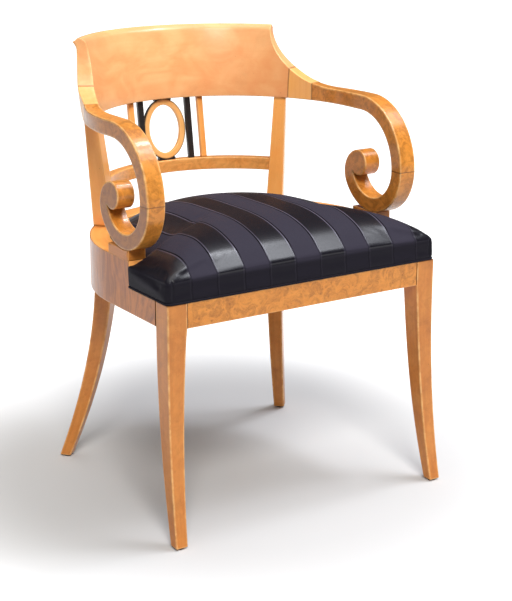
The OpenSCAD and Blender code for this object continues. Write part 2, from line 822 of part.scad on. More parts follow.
// Pins from the ring through the pads into the crest rail and the mid rail
module ring_pin(g) {
  in_ring = ring_band * 2 / 3;
  in_rail = bar_tenon_len + pad_t;
  for (up = [0, 1])
    ring_frame() mirror([0, 0, up]) translate([0, 0, ring_b - in_ring - g])
      cylinder(h = in_ring + in_rail + 2 * g, d = ring_pin_dia + 2 * g);
}

module back_ring() {
  color(birch) placed() difference() {
    ring_frame() front_view(-ring_d / 2, ring_d / 2) difference() {
      polygon(oval(ring_a, ring_b));
      polygon(oval(ring_a - ring_band, ring_b - ring_band));
    }
    ring_pin(fit_gap);
  }
}

// Pad between the ring and the rail above (up = 1) or below (up = -1)
module ring_pad(up) {
  difference() {
    intersection() {
      ring_frame() translate([-pad_w / 2, -ring_d / 2, up > 0 ? 0 : -back_gap_h])
        cube([pad_w, ring_d, back_gap_h]);
      translate([-far, 0, up > 0 ? crest_bottom_z - pad_h : mid_rail_top_z])
        cube([2 * far, far, pad_h]);
    }
    ring_frame() front_view(-far, far) polygon(oval(ring_a, ring_b));
    ring_pin(fit_gap);
  }
}

module ring_pad_top() { color(ebony) placed() ring_pad(1); }
module ring_pad_bottom() { color(ebony) placed() ring_pad(-1); }

module ring_pins() {
  color(beech) placed() ring_pin(0);
}

// Crest rail and knees, drawn as sections square to the curve. A section at angle a has its
// inner face at front_r and its outer face at back_r, for the share u of the crest's height.

function smooth(t) = let (c = min(1, max(0, t))) c * c * (3 - 2 * c);
function flare_of(a) = smooth((a - knee_low_angle) / (knee_top_angle - knee_low_angle));
function in_base(a) = a < knee_top_angle ? curve_r(in_curve, a) : crest_in_r;
function out_base(a) = a < knee_top_angle ? curve_r(out_curve, a) : crest_out_r;
function turned_in(a) = a > 90 ? 180 - a : a;
function lip_of(u) = pow(max(0, (u - lip_start_share) / (1 - lip_start_share)), 2);
function front_r(a, u) =
  in_base(a)
  + flare_of(a) * (crest_lean * sin(a) + crest_flare) * pow(u, crest_front_share)
  + crest_roll * pow(max(0, (u - roll_start_share) / (1 - roll_start_share)), crest_front_share);
function back_r(a, u) =
  out_base(a)
  + flare_of(a) * crest_lean * sin(a) * pow(u, crest_back_share)
  + crest_lip * lip_of(u);

// Height of the top edge at angle a: the swoop is a quarter of an ellipse
function swoop_top_z(a) =
  let (r = (in_base(a) + out_base(a)) / 2,
       t = (r * sin(a - swoop_angle) - swoop_low) / swoop_run)
  t <= 0 ? arm_top_z : chair_h - swoop_drop * sqrt(max(0, 1 - t * t));
// Angle at which the swoop reaches the share q of its quarter turn, from its top down
function swoop_a(q) =
  swoop_angle + asin((swoop_low + swoop_run * cos(q * 90)) / (crest_mid_r));

// Point of a section at angle a, radius r and height z
function at_angle(a, r, z) = [r * cos(a), crest_yc + r * sin(a), z];

// Closed outline of one section at angle a with its top at z_top: up the inner face, over
// the middle of the top, and down the outer face
function section(a, z_top) =
  let (b = turned_in(a),
       u = (z_top - crest_bottom_z) / crest_h,
       h = z_top - top_easing - crest_bottom_z,
       drop = crest_lip_drop * lip_of(u),
       n = len(face_shares))
  concat(
    [for (q = face_shares) at_angle(a, front_r(b, u * q), crest_bottom_z + h * q)],
    [at_angle(a, (front_r(b, u) + back_r(b, u)) / 2, z_top)],
    [for (k = [n - 1 : -1 : 0]) let (q = face_shares[k])
      at_angle(a, back_r(b, u * q), crest_bottom_z + (h - drop) * q)]);

// Skin over a row of sections, closed at both ends
module loft(sections) {
  n = len(sections[0]);
  m = len(sections);
  polyhedron(
    points = [for (s = sections) for (p = s) p],
    faces = concat(
      [for (i = [0 : m - 2]) for (j = [0 : n - 1])
        [i * n + j, (i + 1) * n + j, i * n + (j + 1) % n]],
      [for (i = [0 : m - 2]) for (j = [0 : n - 1])
        [i * n + (j + 1) % n, (i + 1) * n + j, (i + 1) * n + (j + 1) % n]],
      cap_faces(n, 0, false),
      cap_faces(n, (m - 1) * n, true)));
}

// Triangles that close a section of n points, between its inner and its outer face
function cap_faces(n, base, flip) =
  let (half = (n - 3) / 2,
       tris = concat(
         [for (k = [0 : half - 1]) [k, k + 1, n - 1 - k]],
         [for (k = [0 : half - 1]) [k + 1, n - 2 - k, n - 1 - k]],
         [[half, half + 1, half + 2]]))
  [for (t = tris) flip ? [base + t[2], base + t[1], base + t[0]] : [base + t[0], base + t[1], base + t[2]]];

// Share of the swoop's quarter turn at which the crest rail meets the knee
knee_share = acos((sin(knee_top_angle - swoop_angle) * crest_mid_r - swoop_low) / swoop_run) / 90;

// Angles of the crest rail's sections on the right, from the knee up the swoop to the top corner
swoop_angles = [for (i = [0 : swoop_steps]) swoop_a(knee_share * (1 - i / swoop_steps))];
corner_angle = swoop_a(0);

module crest_blank() {
  right = [for (a = swoop_angles) section(a, swoop_top_z(a))];
  middle = [for (i = [1 : crest_steps - 1])
    section(corner_angle + (180 - 2 * corner_angle) * i / crest_steps, chair_h)];
  left = [for (i = [swoop_steps : -1 : 0]) section(180 - swoop_angles[i], swoop_top_z(swoop_angles[i]))];
  loft(concat(right, middle, left));
}

// Dowels between crest rail and knee
module crest_dowels(g) {
  for (z = [crest_bottom_z + arm_t / 2, crest_bottom_z + arm_t * 5 / 4])
    translate([crest_mid_r * cos(knee_top_angle), crest_yc + crest_mid_r * sin(knee_top_angle), z])
      rotate([0, 0, knee_top_angle]) rotate([90, 0, 0])
        cylinder(h = arm_dowel_len + 2 * g, d = arm_dowel_dia + 2 * g, center = true);
}

// Dowels between knee and arm
module knee_dowels(g) {
  r = (curve_r(in_curve, knee_low_angle) + curve_r(out_curve, knee_low_angle)) / 2;
  for (side = [-1, 1])
    translate([0, crest_yc, crest_bottom_z + arm_t / 2]) rotate([0, 0, knee_low_angle])
      translate([r + side * arm_dowel_dia, 0, 0]) rotate([90, 0, 0])
        cylinder(h = arm_dowel_len + 2 * g, d = arm_dowel_dia + 2 * g, center = true);
}

// Dowels between arm and scroll
module arm_joint_dowels(g) {
  for (side = [-1, 1])
    translate([arm_mid_x + side * arm_dowel_dia, scroll_front_y + arm_t / 2, scroll_zc])
      cylinder(h = arm_dowel_len + 2 * g, d = arm_dowel_dia + 2 * g, center = true);
}

module crest_rail() {
  color(birch) placed() difference() {
    crest_blank();
    both() {
      post_head_tenon(fit_gap);
      crest_dowels(fit_gap);
    }
    bar_tenons(fit_gap);
    ring_pin(fit_gap);
  }
}

module knee() {
  span = knee_top_angle - knee_low_angle;
  difference() {
    loft([for (i = [0 : knee_steps]) let (a = knee_low_angle + span * i / knee_steps)
      section(a, swoop_top_z(a))]);
    crest_dowels(fit_gap);
    knee_dowels(fit_gap);
  }
}

module knee_left() { color(birch) on_side(-1) knee(); }
module knee_right() { color(birch) on_side(1) knee(); }

// Arms and scrolls

function curve_points(yc, zc, ry, rz, a0, a1) = [for (i = [0 : arc_steps])
  let (a = a0 + (a1 - a0) * i / arc_steps)
  [yc + ry * cos(a), zc + rz * sin(a)]];

// Plan of the arm behind the front curve: between the straight or curved outer and inner faces
module arm_plan() {
  difference() {
    union() {
      intersection() {
        translate([out_curve[1], out_curve[2]]) circle(out_curve[0], $fn = 360);
        translate([0, out_curve[2] - over]) square([far, far]);
      }
      translate([0, bend_yc]) square([seat_half_w, out_curve[2] - bend_yc]);
    }
    intersection() {
      translate([in_curve[1], in_curve[2]]) circle(in_curve[0], $fn = 360);
      translate([0, in_curve[2]]) square([far, far]);
    }
    translate([0, bend_yc - over]) square([arm_in_x, in_curve[2] - bend_yc + over]);
    translate([0, crest_yc]) wedge(knee_low_angle, 180 - knee_low_angle);
  }
}

// What lies above the swoop, as a prism square to the swoop's own direction
module above_swoop() {
  translate([0, crest_yc, 0]) rotate([0, 0, swoop_angle]) side_view(0, far)
    polygon(concat(
      [for (i = [0 : 2 * swoop_steps]) let (q = i * 45 / swoop_steps)
        [swoop_low + swoop_run * cos(q), chair_h - swoop_drop * sin(q)]],
      [[-far, arm_top_z], [-far, 2 * chair_h], [swoop_top, 2 * chair_h]]));
}

module arm() {
  difference() {
    union() {
      side_view(arm_in_x, seat_half_w) polygon(concat(
        [[bend_yc + over, arm_top_z]],
        curve_points(bend_yc, scroll_zc, scroll_reach, bend_h, 90, 180),
        curve_points(bend_yc, scroll_zc, scroll_reach - arm_t, bend_h - arm_t, 180, 90),
        [[bend_yc + over, crest_bottom_z]]));
      difference() {
        translate([0, 0, crest_bottom_z]) linear_extrude(2 * arm_t) arm_plan();
        above_swoop();
      }
    }
    knee_dowels(fit_gap);
    arm_joint_dowels(fit_gap);
  }
}

module arm_left() { color(burl) on_side(-1) arm(); }
module arm_right() { color(burl) on_side(1) arm(); }

module scroll_round(r) {
  translate([arm_in_x, scroll_yc, scroll_zc]) rotate([0, 90, 0]) cylinder(h = arm_w, r = r);
}

// Side view of a scroll: round its outside, over the rolled end and back inside the band
function scroll_outline() = concat(
  curve_points(scroll_yc, scroll_zc, scroll_r, scroll_r, 180, 360 - scroll_turn_angle),
  inner_points(curve_points(turn_yc, turn_zc, scroll_turn_r, scroll_turn_r,
                            -scroll_turn_angle, eye_turn_angle)),
  curve_points(eye_yc, eye_zc, eye_r, eye_r, eye_turn_angle, 360 + crease_eye_angle),
  inner_points(concat([[0, 0]], curve_points(scroll_yc, scroll_zc, scroll_in_r, scroll_in_r,
                                             crease_in_angle, -180))),
  [[scroll_front_y + arm_t, scroll_zc]]);

// A list of points without its first and its last
function inner_points(points) = [for (i = [1 : len(points) - 2]) points[i]];

module scroll() {
  difference() {
    side_view(arm_in_x, seat_half_w) polygon(scroll_outline());
    arm_joint_dowels(fit_gap);
    scroll_dowel(fit_gap);
  }
}

module scroll_left() { color(burl) on_side(-1) scroll(); }
module scroll_right() { color(burl) on_side(1) scroll(); }

module arm_dowels() {
  color(beech) placed() both() {
    crest_dowels(0);
    knee_dowels(0);
    arm_joint_dowels(0);
  }
}

module scroll_block() {
  difference() {
    translate([arm_in_x, step_y, raised_top_z]) cube([arm_w, block_len, block_h]);
    translate([-over, 0, 0]) scroll_round(scroll_r);
    translate([over, 0, 0]) scroll_round(scroll_r);
    scroll_dowel(fit_gap);
  }
}

module scroll_block_left() { color(birch) on_side(-1) scroll_block(); }
module scroll_block_right() { color(birch) on_side(1) scroll_block(); }

module scroll_dowels() {
  color(beech) placed() both() scroll_dowel(0);
}

// Seat

// Plan of the seat, drawn in by the given inset: full width in front of the step, and inside
// the raised rails behind it
module seat_plan(inset) {
  r = rail_in_r - seat_gap - inset;
  w = seat_half_w + seat_overhang - inset;
  y0 = inset - seat_overhang;
  y1 = step_y - seat_gap - inset;
  c = seat_corner_r;
  horseshoe(r, y0);
  polygon([[-w, y1], [-w, y0 + c], [c - w, y0], [w - c, y0], [w, y0 + c], [w, y1]]);
}

module seat_frame_slab(r_in) {
  translate([0, 0, seat_bottom_z]) linear_extrude(seat_frame_t) difference() {
    seat_plan(frame_inset);
    horseshoe(r_in, frame_inset + seat_frame_w);
  }
}

// Share of the frame's thickness in the lower half of a lap
lap_z = seat_bottom_z + seat_frame_t / 2;
frame_in_r = rail_in_r - seat_gap - frame_inset - seat_frame_w;
lap_y = frame_inset + seat_frame_w;

// The whole loose frame with its screw holes
module seat_frame_ring() {
  difference() {
    seat_frame_slab(frame_in_r);
    all_seat_screws(fit_gap);
  }
}

// Room round a back post
module post_clear() {
  translate([0, 0, raised_top_z]) turned_at(post_foot_x, post_foot_y, post_turn_angle)
    translate([-post_foot_w / 2 - seat_gap, -post_foot_d / 2 - seat_gap, 0])
      cube([post_foot_w + 2 * seat_gap, post_foot_d + 2 * seat_gap, far]);
}

// Front bar: the lower half laps under the side bars
module seat_frame_front() {
  color(beech) placed() intersection() {
    seat_frame_ring();
    union() {
      translate([-far, 0, 0]) cube([2 * far, lap_y, lap_z]);
      translate([-frame_in_r, 0, 0]) cube([2 * frame_in_r, lap_y, far]);
    }
  }
}

// Side bar: straight, lapping over the front bar and over the back bar
module seat_frame_side() {
  intersection() {
    seat_frame_ring();
    union() {
      translate([frame_in_r, 0, lap_z]) cube([far, seat_bend_y, far]);
      translate([0, lap_y, 0]) cube([far, seat_bend_y - lap_y - seat_frame_w, far]);
    }
  }
}

module seat_frame_left() { color(beech) on_side(-1) seat_frame_side(); }
module seat_frame_right() { color(beech) on_side(1) seat_frame_side(); }

// Back bar: round the bend, lapping under the side bars
module seat_frame_back() {
  color(beech) placed() intersection() {
    seat_frame_ring();
    union() {
      translate([-far, seat_bend_y - seat_frame_w, 0]) cube([2 * far, far, lap_z]);
      translate([-far, seat_bend_y, 0]) cube([2 * far, far, far]);
    }
  }
}

web_pitch = web_w * 1.6;
web_back_y = seat_bend_y + frame_in_r;

module webbing_long() {
  color(jute) placed() translate([0, 0, seat_frame_top_z])
    for (i = [-2 : 2])
      translate([i * web_pitch - web_w / 2, frame_inset + seat_frame_w / 4, 0])
        linear_extrude(web_t) intersection() {
          square([web_w, far]);
          translate([web_w / 2 - i * web_pitch, -frame_inset - seat_frame_w / 4])
            horseshoe(frame_in_r + seat_frame_w * 3 / 4, 0);
        }
}

module webbing_cross() {
  color(jute) placed() translate([0, 0, web_cross_z])
    for (i = [0 : 4])
      linear_extrude(web_t) intersection() {
        translate([-far, lap_y + web_pitch / 3 + i * web_pitch]) square([2 * far, web_w]);
        horseshoe(frame_in_r + seat_frame_w * 3 / 4, 0);
      }
}

module hessian() {
  color(jute) placed() translate([0, 0, hessian_z]) linear_extrude(hessian_t)
    seat_plan(frame_inset + cover_t);
}

// Half outline of the seat in plan from the middle of the front to the middle of the back,
// drawn in by the given inset and swelled out in front of the step, as [x, y].
// It begins to narrow by the given ease ahead of the step
function seat_half(inset, swell, ease) =
  let (w = seat_half_w + seat_overhang - inset + swell,
       y0 = inset - seat_overhang - swell,
       y1 = step_y - seat_gap - inset,
       r = rail_in_r - seat_gap - inset,
       c = seat_corner_r)
  concat(
    [for (i = [0 : 5]) [(w - c) * i / 5, y0]],
    [for (i = [1 : 3]) [w - c + c * sin(i * 30), y0 + c - c * cos(i * 30)]],
    [for (i = [1 : 4]) [w, y0 + c + (y1 - ease - y0 - c) * i / 4]],
    [[r, y1], [r, (y1 + seat_bend_y) / 2]],
    [for (i = [0 : 10]) [r * cos(i * 9), seat_bend_y + r * sin(i * 9)]]);

function seat_outline(inset, swell, ease) =
  let (h = seat_half(inset, swell, ease), n = len(h))
  concat(h, [for (i = [n - 2 : -1 : 1]) [-h[i][0], h[i][1]]]);

// Rise of the boxing's edge at the point p of the outline
function bow_at(p) =
  p[1] < seat_crown_y ? seat_bow * max(0, 1 - pow(p[0] / (seat_half_w + seat_overhang), 2)) : 0;

// A crowned pad: upright sides from z0 to z1 and rings drawn in to the crown above
module crowned_pad(inset, z0, z1) {
  foot = seat_outline(inset, 0, 0);
  rim = seat_outline(inset, seat_swell, 0);
  eased = seat_outline(inset, seat_swell, step_ease);
  n = len(rim);
  m = len(ring_shares) + 1;
  yc = seat_crown_y;
  foot_y = step_y - seat_gap - 2 * cover_t;
  rings = concat(
    [for (p = foot) [p[0], p[1], z0]],
    [for (p = rim) [p[0], p[1], z1 + bow_at(p)]],
    [for (f = ring_shares) for (p = eased)
      [p[0] * f, yc + (p[1] - yc) * f,
       z1 + seat_crown - (seat_crown - bow_at(p)) * pow(f, crown_share)]]);
  polyhedron(
    points = concat(rings, [[0, yc, z1 + seat_crown], [0, foot_y, z0]]),
    faces = concat(
      [for (j = [0 : n - 1]) [j, (j + 1) % n, (m + 1) * n + 1]],
      [for (i = [0 : m - 1]) for (j = [0 : n - 1])
        [i * n + j, (i + 1) * n + j, i * n + (j + 1) % n]],
      [for (i = [0 : m - 1]) for (j = [0 : n - 1])
        [i * n + (j + 1) % n, (i + 1) * n + j, (i + 1) * n + (j + 1) % n]],
      [for (j = [0 : n - 1]) [m * n + j, (m + 1) * n, m * n + (j + 1) % n]]));
}

module stuffing() {
  color(hair) placed() difference() {
    crowned_pad(cover_t + fit_gap, stuffing_z, seat_edge_z - cover_t);
    both() post_clear();
  }
}

module seat_cover() {
  color(satin) placed() difference() {
    crowned_pad(0, cover_bottom_z, seat_edge_z);
    crowned_pad(cover_t, cover_bottom_z - over, seat_edge_z - cover_t + fit_gap);
    both() post_clear();
  }
}

// Welt along the lower edge in front of the step
module seat_welt() {
  r = welt_dia / 2;
  x = seat_half_w + seat_overhang - r;
  y = r - seat_overhang;
  c = seat_corner_r - r;
  color(satin) placed() translate([0, 0, seat_bottom_z + r]) {
    translate([-(x - c), y, 0]) rotate([0, 90, 0]) cylinder(h = 2 * (x - c), r = r);
    both() {
      translate([x, y + c, 0]) rotate([-90, 0, 0]) cylinder(h = step_y - seat_gap - y - c, r = r);
      translate([x - c, y + c, 0]) rotate([0, 0, -90]) rotate_extrude(angle = 90)
        translate([c, 0]) circle(r);
    }
  }
}

module bottom_cloth() {
  color(ebony) placed() translate([0, 0, seat_bottom_z - bottom_cloth_t]) linear_extrude(bottom_cloth_t)
    difference() {
      horseshoe(bearer_in_r - seat_gap, block_y + seat_gap);
      both_flat() polygon([
        [front_rail_x + over, block_y - over], [front_rail_x + over, block_y + block_leg + seat_gap],
        [rail_in_r, block_y + block_leg + seat_gap],
        [front_rail_x - block_leg - seat_gap, block_y - over]]);
    }
}

module both_flat() {
  children();
  mirror([1, 0]) children();
}

module seat_screws() {
  color(steel) placed() all_seat_screws(0);
}

front_rail();
side_rail_left();
side_rail_right();
back_rail();
front_rail_veneer();
rail_veneer_left();
rail_veneer_right();
rail_dowels();
front_leg_left();
front_leg_right();
rear_leg_left();
rear_leg_right();
foot_glides();
corner_block_left();
corner_block_right();
corner_block_screws();
seat_bearer_left();
seat_bearer_right();
seat_bearer_back();
back_post_left();
back_post_right();
mid_rail();
crest_rail();
knee_left();
knee_right();
arm_left();
arm_right();
scroll_left();
scroll_right();
arm_dowels();
scroll_block_left();
scroll_block_right();
scroll_dowels();
black_bar_left();
black_bar_right();
birch_bar_left();
birch_bar_right();
back_ring();
ring_pad_top();
ring_pad_bottom();
ring_pins();
seat_frame_front();
seat_frame_left();
seat_frame_right();
seat_frame_back();
webbing_long();
webbing_cross();
hessian();
stuffing();
seat_cover();
seat_welt();
bottom_cloth();
seat_screws();
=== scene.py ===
"""Visual model of a gondola armchair in veneered birch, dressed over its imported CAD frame.

Metres. X runs across the chair, Y to the back and Z up. Sizes in depth are measured from the
chair's front face, as its maker would, and at() moves them to the frame's own origin.
"""

import math

import bmesh
import bpy
from bpy.props import FloatProperty, FloatVectorProperty, PointerProperty
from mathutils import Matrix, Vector
from mathutils.geometry import delaunay_2d_cdt


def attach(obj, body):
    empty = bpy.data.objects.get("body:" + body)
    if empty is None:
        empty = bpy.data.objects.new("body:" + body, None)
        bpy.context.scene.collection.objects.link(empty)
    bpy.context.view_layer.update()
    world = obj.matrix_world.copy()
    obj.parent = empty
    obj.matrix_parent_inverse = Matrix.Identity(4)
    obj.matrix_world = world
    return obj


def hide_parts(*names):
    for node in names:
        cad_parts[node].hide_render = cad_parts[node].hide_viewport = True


bl_info = {
    "name": "Gondola armchair",
    "version": (1, 0, 0),
    "blender": (4, 5, 0),
    "location": "3D View > Sidebar > Armchair",
    "description": "Builds a veneered gondola armchair, its finishes and its studio round a CAD frame",
    "category": "Add Mesh",
}

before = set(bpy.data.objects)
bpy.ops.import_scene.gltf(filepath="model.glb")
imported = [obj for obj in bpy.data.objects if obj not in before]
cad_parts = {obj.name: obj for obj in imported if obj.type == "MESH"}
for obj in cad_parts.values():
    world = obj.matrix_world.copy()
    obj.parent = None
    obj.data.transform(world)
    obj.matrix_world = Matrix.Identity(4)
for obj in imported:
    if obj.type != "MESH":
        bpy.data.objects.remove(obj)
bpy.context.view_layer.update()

FRONT_TO_ORIGIN = 0.260  # depth of the frame's origin behind the chair's front face
BODY = "root"
JOINT = ("joint", 0.0004)  # end that meets another piece, with the rounding of its rim
SUPPORT = 0.0016  # width of the plain strip beside a rounding
LEAST_RUN = 0.004  # run behind a rounding that such a strip needs
FOOT_BAND, HEAD_SHADOW, RAIL_BAND = 0.0035, 0.0055, 0.004  # widths of the dark bands beside joints; at the heads of posts and bars the band is painted shadow under the crest rail
BAND_DARKNESS = 0.9  # how dark those bands are
FILL_SPACING = 0.007  # spacing of the points inside a sawn face


# ---------------------------------------------------------------- sizes and colours


def length(label, note, value):
    """A size in metres that a user can change."""
    return FloatProperty(name=label, description=note, default=value, precision=4, unit="LENGTH")


def turn(label, note, degrees):
    """An angle that a user can change."""
    return FloatProperty(name=label, description=note, default=math.radians(degrees), unit="ROTATION")


def tone(label, note, red, green, blue):
    """A colour that a user can change, given as it looks on a screen, from 0 to 255."""
    return FloatVectorProperty(name=label, description=note, subtype="COLOR", size=3, min=0, max=1,
                               default=[linear(v / 255) for v in (red, green, blue)])


def linear(value):
    """Screen value to light."""
    return value / 12.92 if value <= 0.04045 else ((value + 0.055) / 1.055) ** 2.4


class RailSizes(bpy.types.PropertyGroup):
    half_width: length("Half width", "Half the width over the side rails", 0.280)
    bend_y: length("Bend", "Where the side rails begin to bend", 0.207)
    thickness: length("Thickness", "Thickness of the rails, veneer included", 0.036)
    veneer: length("Veneer", "Thickness of the veneer", 0.0012)
    bottom: length("Bottom", "Height of the rails' lower edge", 0.378)
    low_top: length("Low top", "Height of the low rails' upper edge", 0.422)
    raised_top: length("Raised top", "Height of the raised rails' upper edge", 0.469)
    step_y: length("Step", "Where the rails step up", 0.132)
    front_y: length("Front", "Set-back of the front rail's veneer", 0.001)
    joint_angle: turn("Joint angle", "Where side rails and back rail meet", 54)
    rounding: length("Rounding", "Rounding of the polished edges", 0.0014)
    veneer_rounding: length("Veneer rounding", "Rounding of the veneers' edges", 0.0005)


class LegSizes(bpy.types.PropertyGroup):
    front_width: length("Front width", "Width of a front leg at the rail", 0.038)
    front_depth: length("Front depth", "Depth of a front leg at the rail", 0.040)
    front_foot_width: length("Front foot width", "Width of a front foot", 0.022)
    front_foot_depth: length("Front foot depth", "Depth of a front foot", 0.020)
    front_throw: length("Front throw", "How far a front foot stands out", 0.032)
    front_splay: length("Front splay", "How far a front foot stands out sideways", 0.0056)
    rear_angle: turn("Rear place", "Place of the rear legs round the bend", 43)
    rear_turn: turn("Rear turn", "Turn of the rear legs about the upright", 42)
    rear_size: length("Rear size", "Thickness of a rear leg at the rail", 0.034)
    rear_foot: length("Rear foot", "Thickness of a rear foot", 0.0215)
    rear_throw: length("Rear throw", "How far a rear foot stands out", 0.089)
    glide: length("Glide", "Thickness of the glides", 0.003)
    rounding: length("Rounding", "Rounding of the legs' edges", 0.0016)


class BackSizes(bpy.types.PropertyGroup):
    centre_y: length("Centre", "Centre of the crest rail's curve", 0.247)
    inner: length("Inner radius", "Radius of the crest rail's inner face", 0.242)
    thickness: length("Thickness", "Thickness of the crest rail at its foot", 0.026)
    bottom: length("Bottom", "Height of the crest rail's lower edge", 0.674)
    height: length("Height", "Height of the crest rail", 0.137)
    lean: length("Lean", "How far the crest rail leans back", 0.030)
    flare: length("Flare", "Flare of its inner face", 0.009)
    roll: length("Roll", "Outward roll of its top edge", 0.007)
    lip: length("Lip", "How far the lip stands out behind", 0.007)
    knee_top: turn("Knee top", "Where the crest rail meets the knees", 30.5)
    knee_low: turn("Knee foot", "Where the knees meet the arms", 18)
    swoop_turn: turn("Swoop", "Angle that the swoop is drawn square to", 30)
    swoop_top: length("Swoop top", "Distance from that angle to the top corner", 0.050)
    swoop_run: length("Swoop run", "Length of the swoop", 0.151)
    rail_inner: length("Mid rail radius", "Inner radius of the mid rail", 0.228)
    rail_thickness: length("Mid rail thickness", "Thickness of the mid rail", 0.020)
    rail_top: length("Mid rail top", "Height of the mid rail's upper face", 0.5545)
    rail_height: length("Mid rail height", "Height of the mid rail", 0.024)
    post_turn: turn("Post turn", "Turn of the posts about the upright", 40)
    post_foot_radius: length("Post foot place", "Radius at which a post stands on the rail", 0.2595)
    post_foot_width: length("Post foot width", "Width of a post at its foot", 0.032)
    post_foot_depth: length("Post foot depth", "Depth of a post at its foot", 0.037)
    post_head_angle: turn("Post head", "Place of a post's head", 35.5)
    post_head_width: length("Post head width", "Width of a post at its head", 0.023)
    post_head_depth: length("Post head depth", "Depth of a post at its head", 0.025)
    black_x: length("Black bar place", "Distance of the black bars from the middle", 0.0526)
    black_width: length("Black bar width", "Width of the black bars", 0.012)
    birch_x: length("Birch bar place", "Distance of the birch bars from the middle", 0.077)
    birch_width: length("Birch bar width", "Width of the birch bars", 0.012)
    bar_depth: length("Bar depth", "Depth of bars and ring", 0.008)
    ring_half_width: length("Ring half width", "Half the width of the oval ring", 0.046)
    ring_pad: length("Ring pad", "Least thickness of the pads above and below the ring", 0.0015)
    ring_band: length("Ring band", "Width of the ring's band", 0.012)
    ring_lean: turn("Ring lean", "Lean of the ring to the back", 8.1)
    rounding: length("Rounding", "Rounding of posts, crest rail and mid rail", 0.0014)
    bar_rounding: length("Bar rounding", "Rounding of bars and ring", 0.0012)
    post_joint: length("Post joint", "Rounding of the posts' rims at their joints", 0.0007)


class ArmSizes(bpy.types.PropertyGroup):
    width: length("Width", "Width of arms and scrolls", 0.034)
    thickness: length("Thickness", "Thickness of the arm's band", 0.0275)
    scroll_radius: length("Scroll radius", "Radius of the round lower half", 0.088)
    scroll_y: length("Scroll place", "Centre of that round", 0.150)
    scroll_bottom: length("Scroll bottom", "Height of the scroll's lowest point", 0.4855)
    reach: length("Reach", "Depth of the arm's front curve", 0.125)
    eye: length("Eye", "Radius of the rolled end", 0.0245)
    turn_radius: length("Turn radius", "Radius of the turn over the rolled end", 0.045)
    turn_low: turn("Turn start", "Angle below level at which that turn begins", 30)
    turn_high: turn("Turn end", "Angle above level at which it meets the rolled end", 80)
    block_length: length("Block length", "Length of the block under a scroll", 0.071)
    block_top: length("Block top", "Height of that block's upper face", 0.487)
    block_rounding: length("Block rounding", "Rounding of that block's edges", 0.0009)
    rounding: length("Rounding", "Rounding of the polished edges", 0.0018)


class SeatSizes(bpy.types.PropertyGroup):
    half_width: length("Half width", "Half the width of the boxed edge", 0.2815)
    front: length("Front", "Overhang at the front", 0.0015)
    rear_radius: length("Rear radius", "Half the width between the raised rails", 0.2435)
    bottom: length("Bottom", "Height of the cover's lower edge", 0.4265)
    edge_top: length("Edge top", "Height of the boxed edge's top", 0.461)
    crown: length("Crown", "Rise of the crown above that edge", 0.057)
    crown_y: length("Crown place", "Where the crown is highest", 0.200)
    bow: length("Bow", "How far the front edge arches up between its corners", 0.007)
    swell: length("Swell", "Swell of the boxed edge", 0.002)
    corner: length("Corner", "Rounding of the front corners", 0.012)
    welt: length("Welt", "Diameter of the welt", 0.0044)
    stripe: length("Stripe", "Width of one stripe of the satin", 0.0523)
    stripe_start: length("First stripe", "Where a glossy stripe begins", 0.0275)
    cap: length("Cap", "How far the padding may swell in the simulation", 0.003)
    grid: length("Grid", "Size of the cloth's squares in the simulation", 0.0046)


class Finishes(bpy.types.PropertyGroup):
    crest: tone("Crest birch", "Main colour of the crest rail", 242, 166, 108)
    crest_light: tone("Crest light", "Light figure of the crest rail", 250, 192, 132)
    crest_dark: tone("Crest dark", "Dark figure of the crest rail", 228, 142, 74)
    honey: tone("Honey birch", "Main colour of posts, bars and rail cores", 255, 172, 90)
    honey_light: tone("Honey light", "Their light figure, and the colour of ring and knees", 255, 188, 108)
    honey_dark: tone("Honey dark", "Their dark figure", 222, 130, 48)
    leg: tone("Leg birch", "Main colour of the legs", 204, 124, 50)
    leg_light: tone("Leg light", "Light figure of the legs", 216, 144, 68)
    leg_dark: tone("Leg dark", "Dark figure of the legs", 148, 78, 26)
    burl: tone("Burl", "Main colour of the burl veneer", 212, 132, 48)
    burl_light: tone("Burl light", "Light clouds of the burl veneer", 238, 160, 72)
    burl_dark: tone("Burl dark", "Dark clouds and eyes of the burl veneer", 108, 54, 14)
    flank: tone("Flank veneer", "Main colour of the veneer on the side rails", 198, 114, 44)
    flank_light: tone("Flank light", "Light bands of that veneer", 216, 136, 62)
    flank_dark: tone("Flank dark", "Dark wavy lines of that veneer", 112, 56, 18)
    worn: tone("Worn edge", "Polish worn thin along the edges", 250, 200, 132)
    # Also paints shade: through the seam marks it darkens the bands under the crest rail, the scrolls'
    # creases and the blocks' hollows.
    grime_and_shade: tone("Grime", "Dirt and old wax in the joints", 58, 30, 14)
    black: tone("Ebonised", "Ebonised bars and the ring's rim", 30, 27, 28)
    black_worn: tone("Ebonised worn", "Ebonised wood worn thin", 66, 54, 48)
    satin: tone("Satin", "Glossy stripes of the satin", 14, 12, 17)
    satin_dull: tone("Satin dull", "Dull stripes of the satin", 50, 47, 58)
    # Painted highlight on the raised threads beside the pin lines.
    satin_ridge_highlight: tone("Satin ridge", "Raised threads beside the pin lines", 96, 90, 106)
    # Also the colour of the painted shade on the boxing and in the pin lines' grooves.
    satin_line_and_shade: tone("Satin line", "Pin lines between the stripes", 6, 5, 7)
    beech: tone("Beech", "Unfinished inner frame", 214, 180, 136)
    steel: tone("Steel", "Glides and screws", 70, 68, 66)
    jute: tone("Jute", "Webbing and hessian", 176, 148, 102)
    lining: tone("Lining", "Cloth under the seat", 38, 36, 37)
    floor: tone("Floor", "Pale studio floor", 207, 207, 207)


# ---------------------------------------------------------------- drawing


def at(x, y, z):
    """Point of the chair, its depth measured from the front face, in the frame's own place."""
    return Vector((x, y - FRONT_TO_ORIGIN, z))


def polar(radius, angle):
    """Flat step of a length in a direction."""
    return Vector((radius * math.cos(angle), radius * math.sin(angle)))


